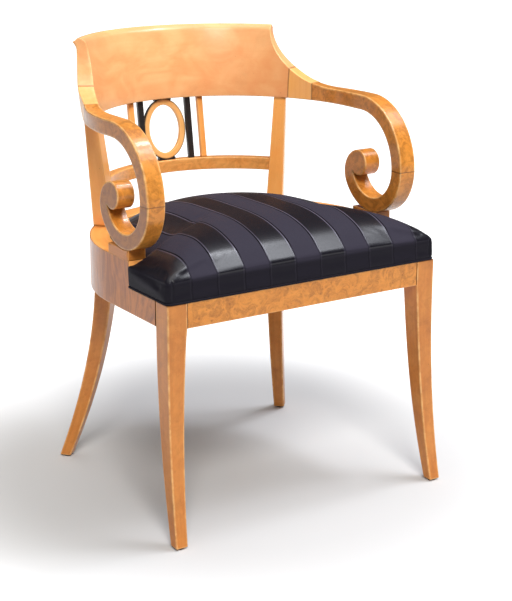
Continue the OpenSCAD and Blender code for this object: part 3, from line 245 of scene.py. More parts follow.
def spread(start, stop, steps):
    """Evenly spaced numbers from start to stop, both included."""
    return [start + (stop - start) * i / steps for i in range(steps + 1)]


def clamp(value):
    """Value held between 0 and 1."""
    return min(1.0, max(0.0, value))


def smooth(value):
    """Eased step from 0 to 1."""
    c = clamp(value)
    return c * c * (3 - 2 * c)


class Row:
    """One closed section of a piece: points, places in the wood, and marks for edges, for joints and for
    painted shade.
    """

    def __init__(self, points, places, edges, seams=None):
        self.points = points
        self.places = places
        self.edges = edges
        self.seams = seams or [0.0] * len(points)

    def toward(self, other, share):
        """The section a share of the way to another."""
        return Row([p.lerp(q, share) for p, q in zip(self.points, other.points)],
                   [p.lerp(q, share) for p, q in zip(self.places, other.places)],
                   list(self.edges), list(self.seams))

    def shrunk(self, inset, edge=None, seam=None):
        """The section drawn in by inset in its own plane."""
        normal = Vector()
        points = self.points
        count = len(points)
        for i, p in enumerate(points):
            normal += p.cross(points[(i + 1) % count])
        normal.normalize()
        moved = []
        for i, p in enumerate(points):
            along = points[(i + 1) % count] - points[i - 1]
            moved.append(p - along.cross(normal).normalized() * inset)
        edges = self.edges if edge is None else [edge] * count
        seams = self.seams if seam is None else [seam] * count
        return Row(moved, list(self.places), list(edges), list(seams))

    def mirrored(self):
        """The section of the other hand."""
        flip = Vector((-1, 1, 1))
        return Row([p * flip for p in self.points], list(self.places), list(self.edges), list(self.seams))


def rounded(corners, radius):
    """An outline with rounded corners: a list of (point, edge), with edge 1 on the roundings."""
    strip, most, outermost = 0.0025, 0.4, 0.47  # plain strip, and shares of a side that bound the two
    loop = []
    for i, corner in enumerate(corners):
        p = Vector(corner)
        back = Vector(corners[i - 1]) - p
        ahead = Vector(corners[(i + 1) % len(corners)]) - p
        r = min(radius, back.length * most, ahead.length * most)
        start, stop = (p + way.normalized() * r for way in (back, ahead))
        loop.append((p + back.normalized() * min(r + strip, back.length * outermost), 0.0))
        for t in spread(0, 1, 3):
            loop.append((start * (1 - t) ** 2 + p * (2 * t * (1 - t)) + stop * t ** 2, 1.0))
        loop.append((p + ahead.normalized() * min(r + strip, ahead.length * outermost), 0.0))
    return loop


def four_sided(corners, along, radius):
    """A section with four rounded corners, given in turn as points of the chair."""
    a, b, c, d = corners
    wide = ((b - a).length + (c - d).length) / 2
    high = ((d - a).length + (c - b).length) / 2
    loop = rounded([(0, 0), (wide, 0), (wide, high), (0, high)], radius)
    points, places = [], []
    for p, _ in loop:
        u, v = p.x / wide, p.y / high
        points.append(a * ((1 - u) * (1 - v)) + b * (u * (1 - v)) + c * (u * v) + d * ((1 - u) * v))
        places.append(Vector((along, p.x - wide / 2, p.y - high / 2)))
    return Row(points, places, [edge for _, edge in loop])


def end_rows(row, following, style, size, band=0.0):
    """Rows that close one end: the cap's own ring, then the rounding, a support, and a dark band, which at
    the heads of posts and bars is painted shadow under the crest rail.
    """
    run = (following.points[0] - row.points[0]).length
    steps, edge, seam = (2, None, 1.0) if style == "joint" else (3, 1.0, None)
    rows = [row.shrunk(size + SUPPORT, edge=0.0, seam=seam)]
    for k in range(steps + 1):
        angle = math.pi / 2 * k / steps
        moved = row.toward(following, size * (1 - math.cos(angle)) / run)
        rows.append(moved.shrunk(size * (1 - math.sin(angle)), edge=edge, seam=seam))
    if run > size + LEAST_RUN:
        rows.append(row.toward(following, (size + SUPPORT) / run))
    if band:
        rows[-1].seams = [BAND_DARKNESS] * len(row.points)
        rows.append(row.toward(following, band / run))
    return rows


def closed_rows(rows, start, stop):
    """The rows of a piece with both its ends closed."""
    head = end_rows(rows[0], rows[1], *start)
    tail = end_rows(rows[-1], rows[-2], *stop)
    return head + rows[1:-1] + tail[::-1]


def name_shift(name):
    """A place in the wood of its own for each piece, the same in every run."""
    seed = sum((i + 3) * ord(c) for i, c in enumerate(name))
    return Vector((seed % 17, seed % 29, seed % 23)) * 0.37


def new_mesh(name, points, faces):
    """A closed mesh whose faces all look outward."""
    mesh = bpy.data.meshes.new(name)
    mesh.from_pydata(points, [], faces)
    work = bmesh.new()
    work.from_mesh(mesh)
    bmesh.ops.recalc_face_normals(work, faces=work.faces)
    work.to_mesh(mesh)
    work.free()
    return mesh


def shown(name, points, faces, marks, material, stands_for):
    """Makes a piece of the chair: in the scene, on its body, in place of its CAD nodes.

    Its marks are where each point lies in the wood, and how near it is to an edge and to a joint; the joint
    marks also carry painted shade in places.
    """
    mesh = new_mesh(name, points, faces)
    places, edges, seams = marks
    shift = name_shift(name)
    grain = mesh.attributes.new("grain", "FLOAT_VECTOR", "POINT")
    grain.data.foreach_set("vector", [v for p in places for v in (p + shift)])
    for mark, values in (("edge", edges), ("seam", seams)):
        mesh.attributes.new(mark, "FLOAT", "POINT").data.foreach_set("value", values)
    mesh.polygons.foreach_set("use_smooth", [True] * len(mesh.polygons))
    mesh.materials.append(material)
    piece = bpy.data.objects.new(name, mesh)
    bpy.context.scene.collection.objects.link(piece)
    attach(piece, BODY)
    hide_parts(*stands_for)
    return piece


def skin(rows, ring=False):
    """Points and faces over a list of rows."""
    count = len(rows[0].points)
    points = [p for row in rows for p in row.points]
    faces = []
    last = len(rows) if ring else len(rows) - 1
    for i in range(last):
        a, b = i * count, (i + 1) % len(rows) * count
        for j in range(count):
            k = (j + 1) % count
            faces.append((a + j, b + j, b + k, a + k))
    if not ring:
        faces.append(tuple(range(count)))
        faces.append(tuple(reversed(range((len(rows) - 1) * count, len(rows) * count))))
    return points, faces


def marks_of(rows):
    """The marks of all points of a list of rows: places in the wood, edges and joints."""
    return ([p for r in rows for p in r.places], [e for r in rows for e in r.edges],
            [s for r in rows for s in r.seams])


def loft(name, rows, material, slot, stands_for, start=JOINT, stop=JOINT, ring=False):
    """A piece drawn through a list of sections."""
    if not ring:
        rows = closed_rows(rows, start, stop)
    points, faces = skin(rows, ring)
    return shown(name, points, faces, marks_of(rows), material, stands_for)


def filled(loop, spacing):
    """Points in a flat outline, the triangles that fill it, and each point's source.

    The outline's points come first, and the others keep a good half of the spacing away from it.
    """
    ys, zs = [p.x for p in loop], [p.y for p in loop]
    inside = []
    y = min(ys) + spacing
    while y < max(ys):
        z = min(zs) + spacing
        while z < max(zs):
            here = Vector((y, z))
            if within(here, loop) and min((here - p).length for p in loop) > spacing * 0.6:
                inside.append(here)
            z += spacing
        y += spacing
    edges = [(i, (i + 1) % len(loop)) for i in range(len(loop))]
    found = delaunay_2d_cdt(loop + inside, edges, [tuple(range(len(loop)))], 1, 1e-7)
    return found[0], found[2], found[3]


def within(point, loop):
    """Whether a flat point lies inside an outline."""
    inside = False
    for i, p in enumerate(loop):
        q = loop[i - 1]
        if (p.y > point.y) != (q.y > point.y):
            if point.x < (q.x - p.x) * (point.y - p.y) / (q.y - p.y) + p.x:
                inside = not inside
    return inside


def sawn(name, loop, x0, x1, rim, material, stands_for, hand=1):
    """A piece sawn to a side view, a list of (depth, height, seam), with rounded rims from x0 to x1."""
    count = len(loop)
    rows = [Row([at(x, y, z) for y, z, _ in loop], [Vector((y, z, x)) for y, z, _ in loop],
                [0.0] * count, [seam for _, _, seam in loop]) for x in (x0, (x0 + x1) / 2, x1)]
    rows = closed_rows(rows, ("edge", rim), ("edge", rim))
    for row in rows:
        for p, (_, z, seam) in zip(row.points, loop):
            if seam == 1.0:
                p.z = z
    points, faces = skin(rows)
    faces = faces[:-2]
    places, edges, seams = marks_of(rows)
    for base in (0, (len(rows) - 1) * count):
        seams[base:base + count] = [0.0] * count
        x = points[base].x
        flat = [Vector((points[base + i].y, points[base + i].z)) for i in range(count)]
        found, triangles, origin = filled(flat, FILL_SPACING)
        index = []
        for p, source in zip(found, origin):
            outline = [i for i in source if i < count]
            if outline:
                index.append(base + outline[0])
            else:
                index.append(len(points))
                points.append(Vector((x, p.x, p.y)))
                places.append(Vector((p.x + FRONT_TO_ORIGIN, p.y, x)))
                edges.append(0.0)
                seams.append(0.0)
        faces += [tuple(index[i] for i in t) for t in triangles]
    points = [Vector((p.x * hand, p.y, p.z)) for p in points]
    return shown(name, points, faces, (places, edges, seams), material, stands_for)


def both_hands(name, rows, material, slot, **ends):
    """The right-hand piece and its mirror image."""
    for side, drawn in (("right", rows), ("left", [r.mirrored() for r in rows])):
        loft(f"{name}_{side}", drawn, material, slot, [f"{name}_{side}"], **ends)


# ---------------------------------------------------------------- material building


class Net:
    """Short ways to add nodes to a material or a node group."""

    def __init__(self, tree):
        self.tree = tree

    def add(self, kind, **settings):
        node = self.tree.nodes.new(kind)
        for key, value in settings.items():
            setattr(node, key, value)
        return node

    def feed(self, socket, value):
        if isinstance(value, bpy.types.NodeSocket):
            self.tree.links.new(value, socket)
        elif value is not None:
            socket.default_value = value

    def fill(self, node, sockets):
        for name, value in sockets.items():
            self.feed(node.inputs[name], value)

    def calc(self, operation, a, b=None, hold=False):
        node = self.add("ShaderNodeMath", operation=operation, use_clamp=hold)
        self.feed(node.inputs[0], a)
        self.feed(node.inputs[1], b)
        return node.outputs[0]

    def plus(self, a, b, hold=False):
        return self.calc("ADD", a, b, hold)

    def minus(self, a, b):
        return self.calc("SUBTRACT", a, b)

    def times(self, a, b, hold=False):
        return self.calc("MULTIPLY", a, b, hold)

    def object_place(self):
        return self.add("ShaderNodeTexCoord").outputs["Object"]

    def split(self, vector):
        node = self.add("ShaderNodeSeparateXYZ")
        self.feed(node.inputs[0], vector)
        return node.outputs

    def join(self, x, y, z):
        node = self.add("ShaderNodeCombineXYZ")
        for socket, value in zip(node.inputs, (x, y, z)):
            self.feed(socket, value)
        return node.outputs[0]

    def stretch(self, vector, scale):
        node = self.add("ShaderNodeVectorMath", operation="MULTIPLY")
        self.feed(node.inputs[0], vector)
        self.feed(node.inputs[1], scale)
        return node.outputs[0]

    def noise(self, vector, scale, detail=3.0, roughness=0.5, distortion=0.0):
        node = self.add("ShaderNodeTexNoise")
        self.fill(node, {"Vector": vector, "Scale": scale, "Detail": detail, "Roughness": roughness,
                         "Distortion": distortion})
        return node.outputs["Fac"]

    def cells(self, vector, scale):
        node = self.add("ShaderNodeTexVoronoi", feature="F1")
        self.fill(node, {"Vector": vector, "Scale": scale})
        return node.outputs["Distance"]

    def step(self, value, low, high, to_low=0.0, to_high=1.0):
        node = self.add("ShaderNodeMapRange", interpolation_type="SMOOTHSTEP")
        for socket, item in zip(node.inputs, (value, low, high, to_low, to_high)):
            self.feed(socket, item)
        return node.outputs[0]

    def blend(self, share, a, b, kind="MIX"):
        node = self.add("ShaderNodeMix", data_type="RGBA", blend_type=kind)
        self.fill(node, {0: share, 6: a, 7: b})  # its sockets share their names, so they go by number
        return node.outputs[2]

    def mark(self, name, output):
        return self.add("ShaderNodeAttribute", attribute_name=name).outputs[output]

    def group(self, name, **inputs):
        node = self.add("ShaderNodeGroup", node_tree=bpy.data.node_groups[name])
        self.fill(node, {key.capitalize(): value for key, value in inputs.items()})
        return node.outputs

    def bump(self, height, strength, distance):
        node = self.add("ShaderNodeBump")
        self.fill(node, {"Strength": strength, "Distance": distance, "Height": height})
        return node.outputs["Normal"]


def new_group(name, inputs, outputs):
    """An empty node group with its named sockets, its net, and its two ends."""
    tree = bpy.data.node_groups.new(name, "ShaderNodeTree")
    for label, kind, default in inputs:
        socket = tree.interface.new_socket(name=label, in_out="INPUT", socket_type=f"NodeSocket{kind}")
        if default is not None:
            socket.default_value = default
    for label in outputs:
        tree.interface.new_socket(name=label, in_out="OUTPUT", socket_type="NodeSocketFloat")
    return Net(tree), tree.nodes.new("NodeGroupInput").outputs, tree.nodes.new("NodeGroupOutput").inputs


def make_grain_group():
    """Straight grain: long streaks, a broad flame figure and fine pores, along X of the place."""
    net, inp, out = new_group("Straight grain",
                              [("Place", "Vector", None), ("Wave", "Float", 0.5), ("Fineness", "Float", 1.0)],
                              ["Streaks", "Figure", "Pores"])
    sway = net.noise(net.stretch(inp["Place"], (5.0, 9.0, 9.0)), 1.0, 2.0)
    shift = net.times(net.minus(sway, 0.5), inp["Wave"])
    moved = net.add("ShaderNodeVectorMath", operation="ADD")
    net.feed(moved.inputs[0], inp["Place"])
    net.feed(moved.inputs[1], net.join(None, net.times(shift, 0.05), net.times(shift, 0.03)))
    place = moved.outputs[0]
    wide = net.noise(net.stretch(place, (3.5, 95.0, 95.0)), inp["Fineness"], 5.0, 0.62)
    thin = net.noise(net.stretch(place, (9.0, 520.0, 520.0)), inp["Fineness"], 3.0, 0.6)
    flame = net.noise(net.stretch(place, (11.0, 17.0, 17.0)), 1.0, 3.0, 0.5, 1.4)
    pores = net.noise(net.stretch(place, (130.0, 1500.0, 1500.0)), 1.0, 2.0)
    net.feed(out["Streaks"], net.plus(net.times(net.step(wide, 0.36, 0.68), 0.62), net.times(thin, 0.38)))
    net.feed(out["Figure"], net.step(flame, 0.3, 0.7))
    net.feed(out["Pores"], net.step(pores, 0.5, 0.78))


def make_burl_group():
    """Burl figure: drifting clouds, small dark eyes and a fine curl between them."""
    net, inp, out = new_group("Burl figure", [("Place", "Vector", None), ("Size", "Float", 1.0)],
                              ["Clouds", "Eyes", "Curl"])
    clouds = net.noise(inp["Place"], net.times(inp["Size"], 46.0), 4.0, 0.55, 1.6)
    net.feed(out["Clouds"], net.step(clouds, 0.38, 0.66))
    spots = net.cells(inp["Place"], net.times(inp["Size"], 105.0))
    gate = net.step(net.noise(inp["Place"], net.times(inp["Size"], 30.0), 1.0), 0.45, 0.65)
    net.feed(out["Eyes"], net.times(net.step(spots, 0.34, 0.08), gate))
    curl = net.noise(inp["Place"], net.times(inp["Size"], 230.0), 3.0, 0.6, 2.6)
    net.feed(out["Curl"], net.step(curl, 0.35, 0.66))


def make_wear_group():
    """Polish worn thin on the edges, in patches, and a few dents."""
    net, inp, out = new_group("Edge wear",
                              [("Edge", "Float", 0.0), ("Place", "Vector", None), ("Amount", "Float", 0.5)],
                              ["Worn", "Dents"])
    patch = net.step(net.noise(inp["Place"], 55.0, 4.0, 0.65), 0.36, 0.66)
    share = net.times(net.calc("POWER", inp["Edge"], 1.6), inp["Amount"])
    net.feed(out["Worn"], net.times(share, net.plus(net.times(patch, 0.7), 0.3), hold=True))
    net.feed(out["Dents"], net.step(net.noise(inp["Place"], 120.0, 1.0), 0.74, 0.8))


def make_wax_and_shade_group():
    """Old wax and dirt: dark in the joints, faint clouds and specks over the polish. Its seam input also
    carries painted shade, which comes out dark with the dirt.
    """
    net, inp, out = new_group("Old wax",
                              [("Seam", "Float", 0.0), ("Place", "Vector", None), ("Amount", "Float", 0.5)],
                              ["Dirt", "Specks"])
    clouds = net.step(net.noise(inp["Place"], 21.0, 5.0, 0.6), 0.5, 0.82)
    net.feed(out["Dirt"], net.plus(net.times(inp["Seam"], 0.7), net.times(clouds, inp["Amount"]), hold=True))
    net.feed(out["Specks"], net.step(net.noise(inp["Place"], 310.0, 2.0), 0.74, 0.8))


def make_weave_group():
    """Plain weave of crossing threads, as a height and a shade."""
    net, inp, out = new_group("Plain weave", [("Place", "Vector", None), ("Threads", "Float", 900.0)],
                              ["Height", "Shade"])
    pace = net.times(inp["Threads"], math.pi)
    x, y, _ = net.split(inp["Place"])
    warp, weft = (net.calc("ABSOLUTE", net.calc("SINE", net.times(way, pace))) for way in (x, y))
    net.feed(out["Height"], net.times(net.plus(warp, weft), 0.5))
    net.feed(out["Shade"], net.noise(net.stretch(inp["Place"], (0.35, 0.05, 0.2)), inp["Threads"], 2.0))


def make_stripe_group():
    """Satin stripes front to back: which are glossy, with a pin line and a raised thread on their borders."""
    net, inp, out = new_group("Satin stripes",
                              [("Place", "Vector", None), ("Width", "Float", 0.05), ("Start", "Float", 0.0)],
                              ["Glossy", "Line", "Ridge"])
    sway = net.noise(net.stretch(inp["Place"], (2.0, 7.0, 7.0)), 1.0, 1.0)
    across = net.plus(net.split(inp["Place"])[0], net.times(net.minus(sway, 0.5), 0.006))
    count = net.calc("DIVIDE", net.minus(across, inp["Start"]), inp["Width"])
    away = net.minus(net.calc("PINGPONG", net.plus(count, 0.5), 1.0), 0.5)
    net.feed(out["Glossy"], net.step(away, -0.01, 0.01))
    net.feed(out["Line"], net.step(net.calc("ABSOLUTE", net.plus(away, 0.028)), 0.032, 0.012))
    net.feed(out["Ridge"], net.step(net.calc("ABSOLUTE", net.minus(away, 0.026)), 0.032, 0.008))


def colour(value):
    """A colour property as a four-part node value."""
    return (*value, 1.0)


def new_material(name):
    """The net and the shader of a new material, which has nothing but that shader and its output."""
    material = bpy.data.materials.new(name)
    material.use_nodes = True
    tree = material.node_tree
    return Net(tree), next(n for n in tree.nodes if n.type == "BSDF_PRINCIPLED")


def polished_wood(name, main, light, dark, streak, figure, wear, dirt, burl=0.0, wave=0.5, size=1.0,
                  axes=None, rim=None, shade=0.0):
    """French-polished wood or veneer, in shares of what shows in it.

    Wave and size are those of its figure, and axes turns its grain within the piece. A rim colours a ring's
    outside, and shade is the share of painted shade that darkens a piece's outer left side.
    """
    tones = bpy.context.scene.armchair_finishes
    net, shader = new_material(name)
    place = net.mark("grain", "Vector")
    if axes:
        parts = net.split(place)
        place = net.join(*(parts[axis] for axis in axes))
    grain = net.group("Straight grain", place=place, wave=wave, fineness=1.0)
    knots = net.group("Burl figure", place=place, size=size)
    worn = net.group("Edge wear", edge=net.mark("edge", "Fac"), place=place, amount=wear)
    wax = net.group("Old wax", seam=net.mark("seam", "Fac"), place=place, amount=dirt)
    base = net.blend(net.times(grain["Figure"], figure), colour(main), colour(light))
    for layer, share, laid in ((grain["Streaks"], streak, dark), (knots["Clouds"], burl * 0.75, dark),
                               (knots["Eyes"], burl * 0.8, dark), (knots["Curl"], burl * 0.4, light),
                               (grain["Pores"], 0.16, dark)):
        base = net.blend(net.times(layer, share), base, colour(laid))
    # Painted shade: faces turned to the left, on the chair's left side, are darkened toward the dark tone.
    if shade:
        facing = net.split(net.add("ShaderNodeTexCoord").outputs["Normal"])[0]
        across = net.split(net.object_place())[0]
        shaded_side = net.times(net.step(facing, -0.6, -0.9), net.step(across, -0.2, -0.27))
        base = net.blend(net.times(shaded_side, shade), base, colour(dark))
    base = net.blend(worn["Worn"], base, colour(tones.worn))
    # Dark from the seam marks: dirt in the joints, and painted shade in the bands under the crest rail, the
    # scrolls' creases and the blocks' hollows.
    base = net.blend(net.times(wax["Dirt"], 0.75), base, colour(tones.grime_and_shade), "MULTIPLY")
    base = net.blend(net.times(wax["Specks"], 0.5), base, colour(tones.grime_and_shade))
    if rim is not None:
        base = net.blend(net.mark("rim", "Fac"), base, colour(rim))
    rough = net.plus(net.step(grain["Figure"], 0.0, 1.0, 0.30, 0.38), net.times(wax["Dirt"], 0.12))
    relief = net.plus(net.times(grain["Streaks"], 0.35), net.times(grain["Pores"], -0.5))
    relief = net.minus(relief, net.times(worn["Dents"], 0.8))
    relief = net.plus(relief, net.times(net.noise(place, 26.0, 2.0), 1.2))
    net.fill(shader, {"Base Color": base, "Roughness": net.plus(rough, net.times(worn["Worn"], 0.1)),
                      "Specular IOR Level": 0.22, "Coat Weight": 0.35, "Coat Roughness": 0.09,
                      "Coat IOR": 1.5, "Normal": net.bump(relief, 0.16, 0.0006)})


def ebonised_wood():
    """Black-stained, polished wood, thin on its edges."""
    tones = bpy.context.scene.armchair_finishes
    net, shader = new_material("ebonised")
    place = net.object_place()
    grain = net.group("Straight grain", place=place, wave=0.3, fineness=1.0)
    worn = net.group("Edge wear", edge=net.mark("edge", "Fac"), place=place, amount=0.45)
    wax = net.group("Old wax", seam=net.mark("seam", "Fac"), place=place, amount=0.3)
    base = net.blend(net.times(grain["Streaks"], 0.25), colour(tones.black), colour(tones.black_worn))
    base = net.blend(worn["Worn"], base, colour(tones.black_worn))
    net.fill(shader, {"Base Color": base, "Roughness": net.step(wax["Dirt"], 0.0, 1.0, 0.3, 0.5),
                      "Coat Weight": 0.3, "Coat Roughness": 0.16,
                      "Normal": net.bump(grain["Streaks"], 0.12, 0.0005)})


def striped_satin(name, striped):
    """Black satin with glossy and dull stripes, and pin lines and raised threads between them, with a painted
    highlight on the threads and painted shade in the lines' grooves.

    The boxing is evened out, duller, and darkened by painted shade, and the gloss shows on the slope of the
    crown.
    """
    tones = bpy.context.scene.armchair_finishes
    seat = bpy.context.scene.armchair_seat
    net, shader = new_material(name)
    place = net.object_place()
    weave = net.group("Plain weave", place=place, threads=1500.0)
    if striped:
        bands = net.group("Satin stripes", place=place, width=seat.stripe, start=seat.stripe_start)
        glossy, line, ridge = bands["Glossy"], bands["Line"], bands["Ridge"]
    else:
        glossy, line, ridge = 0.6, 0.0, 0.0
    height, edge, top = net.split(place)[2], seat.edge_top, seat.edge_top + seat.crown
    boxing = net.step(height, edge + 0.004, edge - 0.006)
    upper = net.step(height, edge + 0.014, edge + 0.034, 0.2, 1.0)
    slope = net.step(height, top - 0.010, top - 0.030)
    drape = net.noise(net.stretch(place, (9.0, 9.0, 9.0)), 1.0, 2.0)
    glossy = net.times(glossy, net.step(boxing, 0.0, 1.0, 1.0, 0.3))
    # The threads' painted highlight and the lines' painted groove shade are strongest high on the crown and
    # fade low on it, where the light picks them out less.
    ridge = net.times(net.times(ridge, upper), net.step(drape, 0.30, 0.60, 0.45, 1.0))
    line = net.times(line, net.step(upper, 0.2, 1.0, 0.35, 1.0))
    base = net.blend(glossy, colour(tones.satin_dull), colour(tones.satin))
    base = net.blend(net.times(weave["Shade"], 0.2), base, colour(tones.satin_dull))
    # Painted highlight on the raised threads, then dark pin lines with painted shade in their grooves.
    base = net.blend(net.times(ridge, 0.9), base, colour(tones.satin_ridge_highlight))
    base = net.blend(line, base, colour(tones.satin_line_and_shade))
    # Painted shade on the boxing: its upright face is darkened toward the pin lines' black.
    base = net.blend(net.times(boxing, 0.6), base, colour(tones.satin_line_and_shade))
    rough = net.plus(net.step(glossy, 0.0, 1.0, 0.60, 0.40), net.times(weave["Shade"], 0.06))
    gloss = net.times(net.times(glossy, slope), net.step(boxing, 0.0, 1.0, 0.5, 0.15))
    folds = net.noise(net.stretch(place, (26.0, 5.0, 14.0)), 1.0, 3.0)
    relief = net.minus(ridge, net.times(line, 1.4))
    relief = net.plus(relief, net.times(weave["Height"], 0.12))
    relief = net.plus(relief, net.times(folds, 1.1))
    net.fill(shader, {"Base Color": base, "Roughness": net.plus(rough, net.times(line, 0.2)),
                      "Coat Weight": gloss, "Coat Roughness": 0.26, "Coat IOR": 1.5,
                      "Coat Tint": (0.86, 0.88, 1.0, 1.0), "Specular IOR Level": 0.05,
                      "Sheen Weight": 0.03, "Sheen Roughness": 0.45, "Sheen Tint": (0.80, 0.78, 1.0, 1.0),
                      "Normal": net.bump(relief, 0.5, 0.0009)})


def raw_wood(name, main, dark):
    """Unfinished inner wood, placed by the CAD solid's own coordinates."""
    net, shader = new_material(name)
    place = net.object_place()
    grain = net.group("Straight grain", place=place, wave=0.6, fineness=0.8)
    wax = net.group("Old wax", seam=0.0, place=place, amount=0.5)
    base = net.blend(net.times(grain["Streaks"], 0.5), colour(main), colour(dark))
    base = net.blend(net.times(wax["Dirt"], 0.5), base, colour(dark), "MULTIPLY")
    net.fill(shader, {"Base Color": base, "Roughness": net.step(grain["Streaks"], 0.0, 1.0, 0.6, 0.8),
                      "Normal": net.bump(net.plus(grain["Streaks"], grain["Pores"]), 0.3, 0.0008)})


def worked_metal(name, main):
    """Dark iron glides and screws, with scratches and a little rust."""
    tones = bpy.context.scene.armchair_finishes
    net, shader = new_material(name)
    place = net.object_place()
    wax = net.group("Old wax", seam=0.0, place=place, amount=0.8)
    fine = net.noise(net.stretch(place, (900.0, 900.0, 200.0)), 1.0, 3.0)
    net.fill(shader, {"Base Color": net.blend(wax["Dirt"], colour(main), colour(tones.grime_and_shade)),
                      "Roughness": net.step(fine, 0.3, 0.7, 0.3, 0.55), "Metallic": 0.85,
                      "Normal": net.bump(fine, 0.2, 0.0003)})


def coarse_cloth(name, main, threads, depth):
    """Woven webbing, hessian or lining, placed by the CAD solid's own coordinates."""
    net, shader = new_material(name)
    place = net.object_place()
    weave = net.group("Plain weave", place=place, threads=threads)
    wax = net.group("Old wax", seam=0.0, place=place, amount=0.6)
    darker = colour([v * 0.5 for v in main])
    base = net.blend(net.times(weave["Shade"], 0.7), colour(main), darker)
    base = net.blend(net.times(wax["Dirt"], 0.5), base, darker)
    net.fill(shader, {"Base Color": base, "Roughness": net.step(weave["Height"], 0.0, 1.0, 0.95, 0.8),
                      "Sheen Weight": 0.15, "Normal": net.bump(weave["Height"], 0.6, depth)})


def finish(name):
    """A material made by the finishes' operator."""
    return bpy.data.materials[name]


def dress(node, material):
    """Gives a CAD node that stays a better material."""
    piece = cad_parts[node]
    if not piece.material_slots:
        piece.data.materials.append(material)
    for slot in piece.material_slots:
        slot.material = material


# ---------------------------------------------------------------- rails


def horseshoe_path(rails, radius, y0, angle, step=0.012):
    """Places along the right half of the horseshoe: (x, y, outward x, outward y, distance)."""
    stations = []
    run = rails.bend_y - y0
    count = max(2, round(run / step))
    for i in range(count + 1):
        stations.append((radius, y0 + run * i / count, 1.0, 0.0, run * i / count))
    count = max(2, round(angle * radius / step))
    for i in range(1, count + 1):
        a = angle * i / count
        stations.append(bend_station(rails, radius, a, run + radius * a))
    return stations


def bend_station(rails, radius, a, along):
    """One such place in the bend, at an angle."""
    c, s = math.cos(a), math.sin(a)
    return radius * c, rails.bend_y + radius * s, c, s, along


def band_row(station, inner, outer, radius, bottom, top, rounding):
    """Section of a band round the horseshoe, between two radii and two heights."""
    x, y, ox, oy, along = station
    near = (x - ox * (radius - inner), y - oy * (radius - inner))
    away = (x + ox * (outer - radius), y + oy * (outer - radius))
    return four_sided([at(*near, bottom), at(*away, bottom), at(*away, top), at(*near, top)], along, rounding)


def stepped_rows(rails, legs, inner, outer, angle, rounding):
    """Rows of a side rail or its veneer: low from the front leg, then raised behind the step."""
    radius = (inner + outer) / 2
    clear, ease = 0.004, 0.0008  # room kept free at the step, and the rounding of its corner
    low, raised = [], []

    def row(station, top):
        return band_row(station, inner, outer, radius, rails.bottom, top, rounding)

    for station in horseshoe_path(rails, radius, legs.front_depth, angle):
        behind = station[1] - rails.step_y if station[2] == 1.0 else 1.0
        if behind < -clear:
            low.append(row(station, rails.low_top))
        elif behind > clear:
            raised.append(row(station, rails.raised_top))
    for shift, top in ((-ease / 4, rails.low_top), (0.0, rails.raised_top - ease), (ease, rails.raised_top)):
        y = rails.step_y + shift
        low.append(row((radius, y, 1.0, 0.0, y - legs.front_depth), top))
    return low + raised


class BuildRails(bpy.types.Operator):
    """Build the seat rails and their veneers."""
    bl_idname = "armchair.rails"
    bl_label = "Rails"

    def execute(self, context):
        rails = context.scene.armchair_rails
        legs = context.scene.armchair_legs
        core = rails.half_width - rails.veneer
        inner = rails.half_width - rails.thickness
        solid = stepped_rows(rails, legs, inner, core, rails.joint_angle, rails.rounding)
        both_hands("side_rail", solid, finish("rail_core"), "beech")
        face = stepped_rows(rails, legs, core, rails.half_width, math.pi / 2, rails.veneer_rounding)
        both_hands("rail_veneer", face, finish("flank_veneer"), "burl")
        middle = (inner + core) / 2
        rows = [band_row(bend_station(rails, middle, a, middle * a), inner, core, middle, rails.bottom,
                         rails.raised_top, rails.rounding)
                for a in spread(rails.joint_angle, math.pi - rails.joint_angle, 30)]
        loft("back_rail", rows, finish("rail_core"), "beech", ["back_rail"])
        y = rails.front_y + rails.veneer
        solid = self.front_rows(rails, legs, y, y + rails.thickness, rails.rounding)
        loft("front_rail", solid, finish("rail_core"), "beech", ["front_rail"])
        face = self.front_rows(rails, legs, rails.front_y, y, rails.veneer_rounding)
        loft("front_rail_veneer", face, finish("front_burl"), "burl", ["front_rail_veneer"])
        return {"FINISHED"}

    def front_rows(self, rails, legs, y0, y1, rounding):
        """Rows of the front rail or its veneer, from the left leg to the right one."""
        half = rails.half_width - legs.front_width
        return [four_sided([at(x, y0, rails.bottom), at(x, y1, rails.bottom), at(x, y1, rails.low_top),
                            at(x, y0, rails.low_top)], x + half, rounding)
                for x in spread(-half, half, 24)]


# ---------------------------------------------------------------- legs


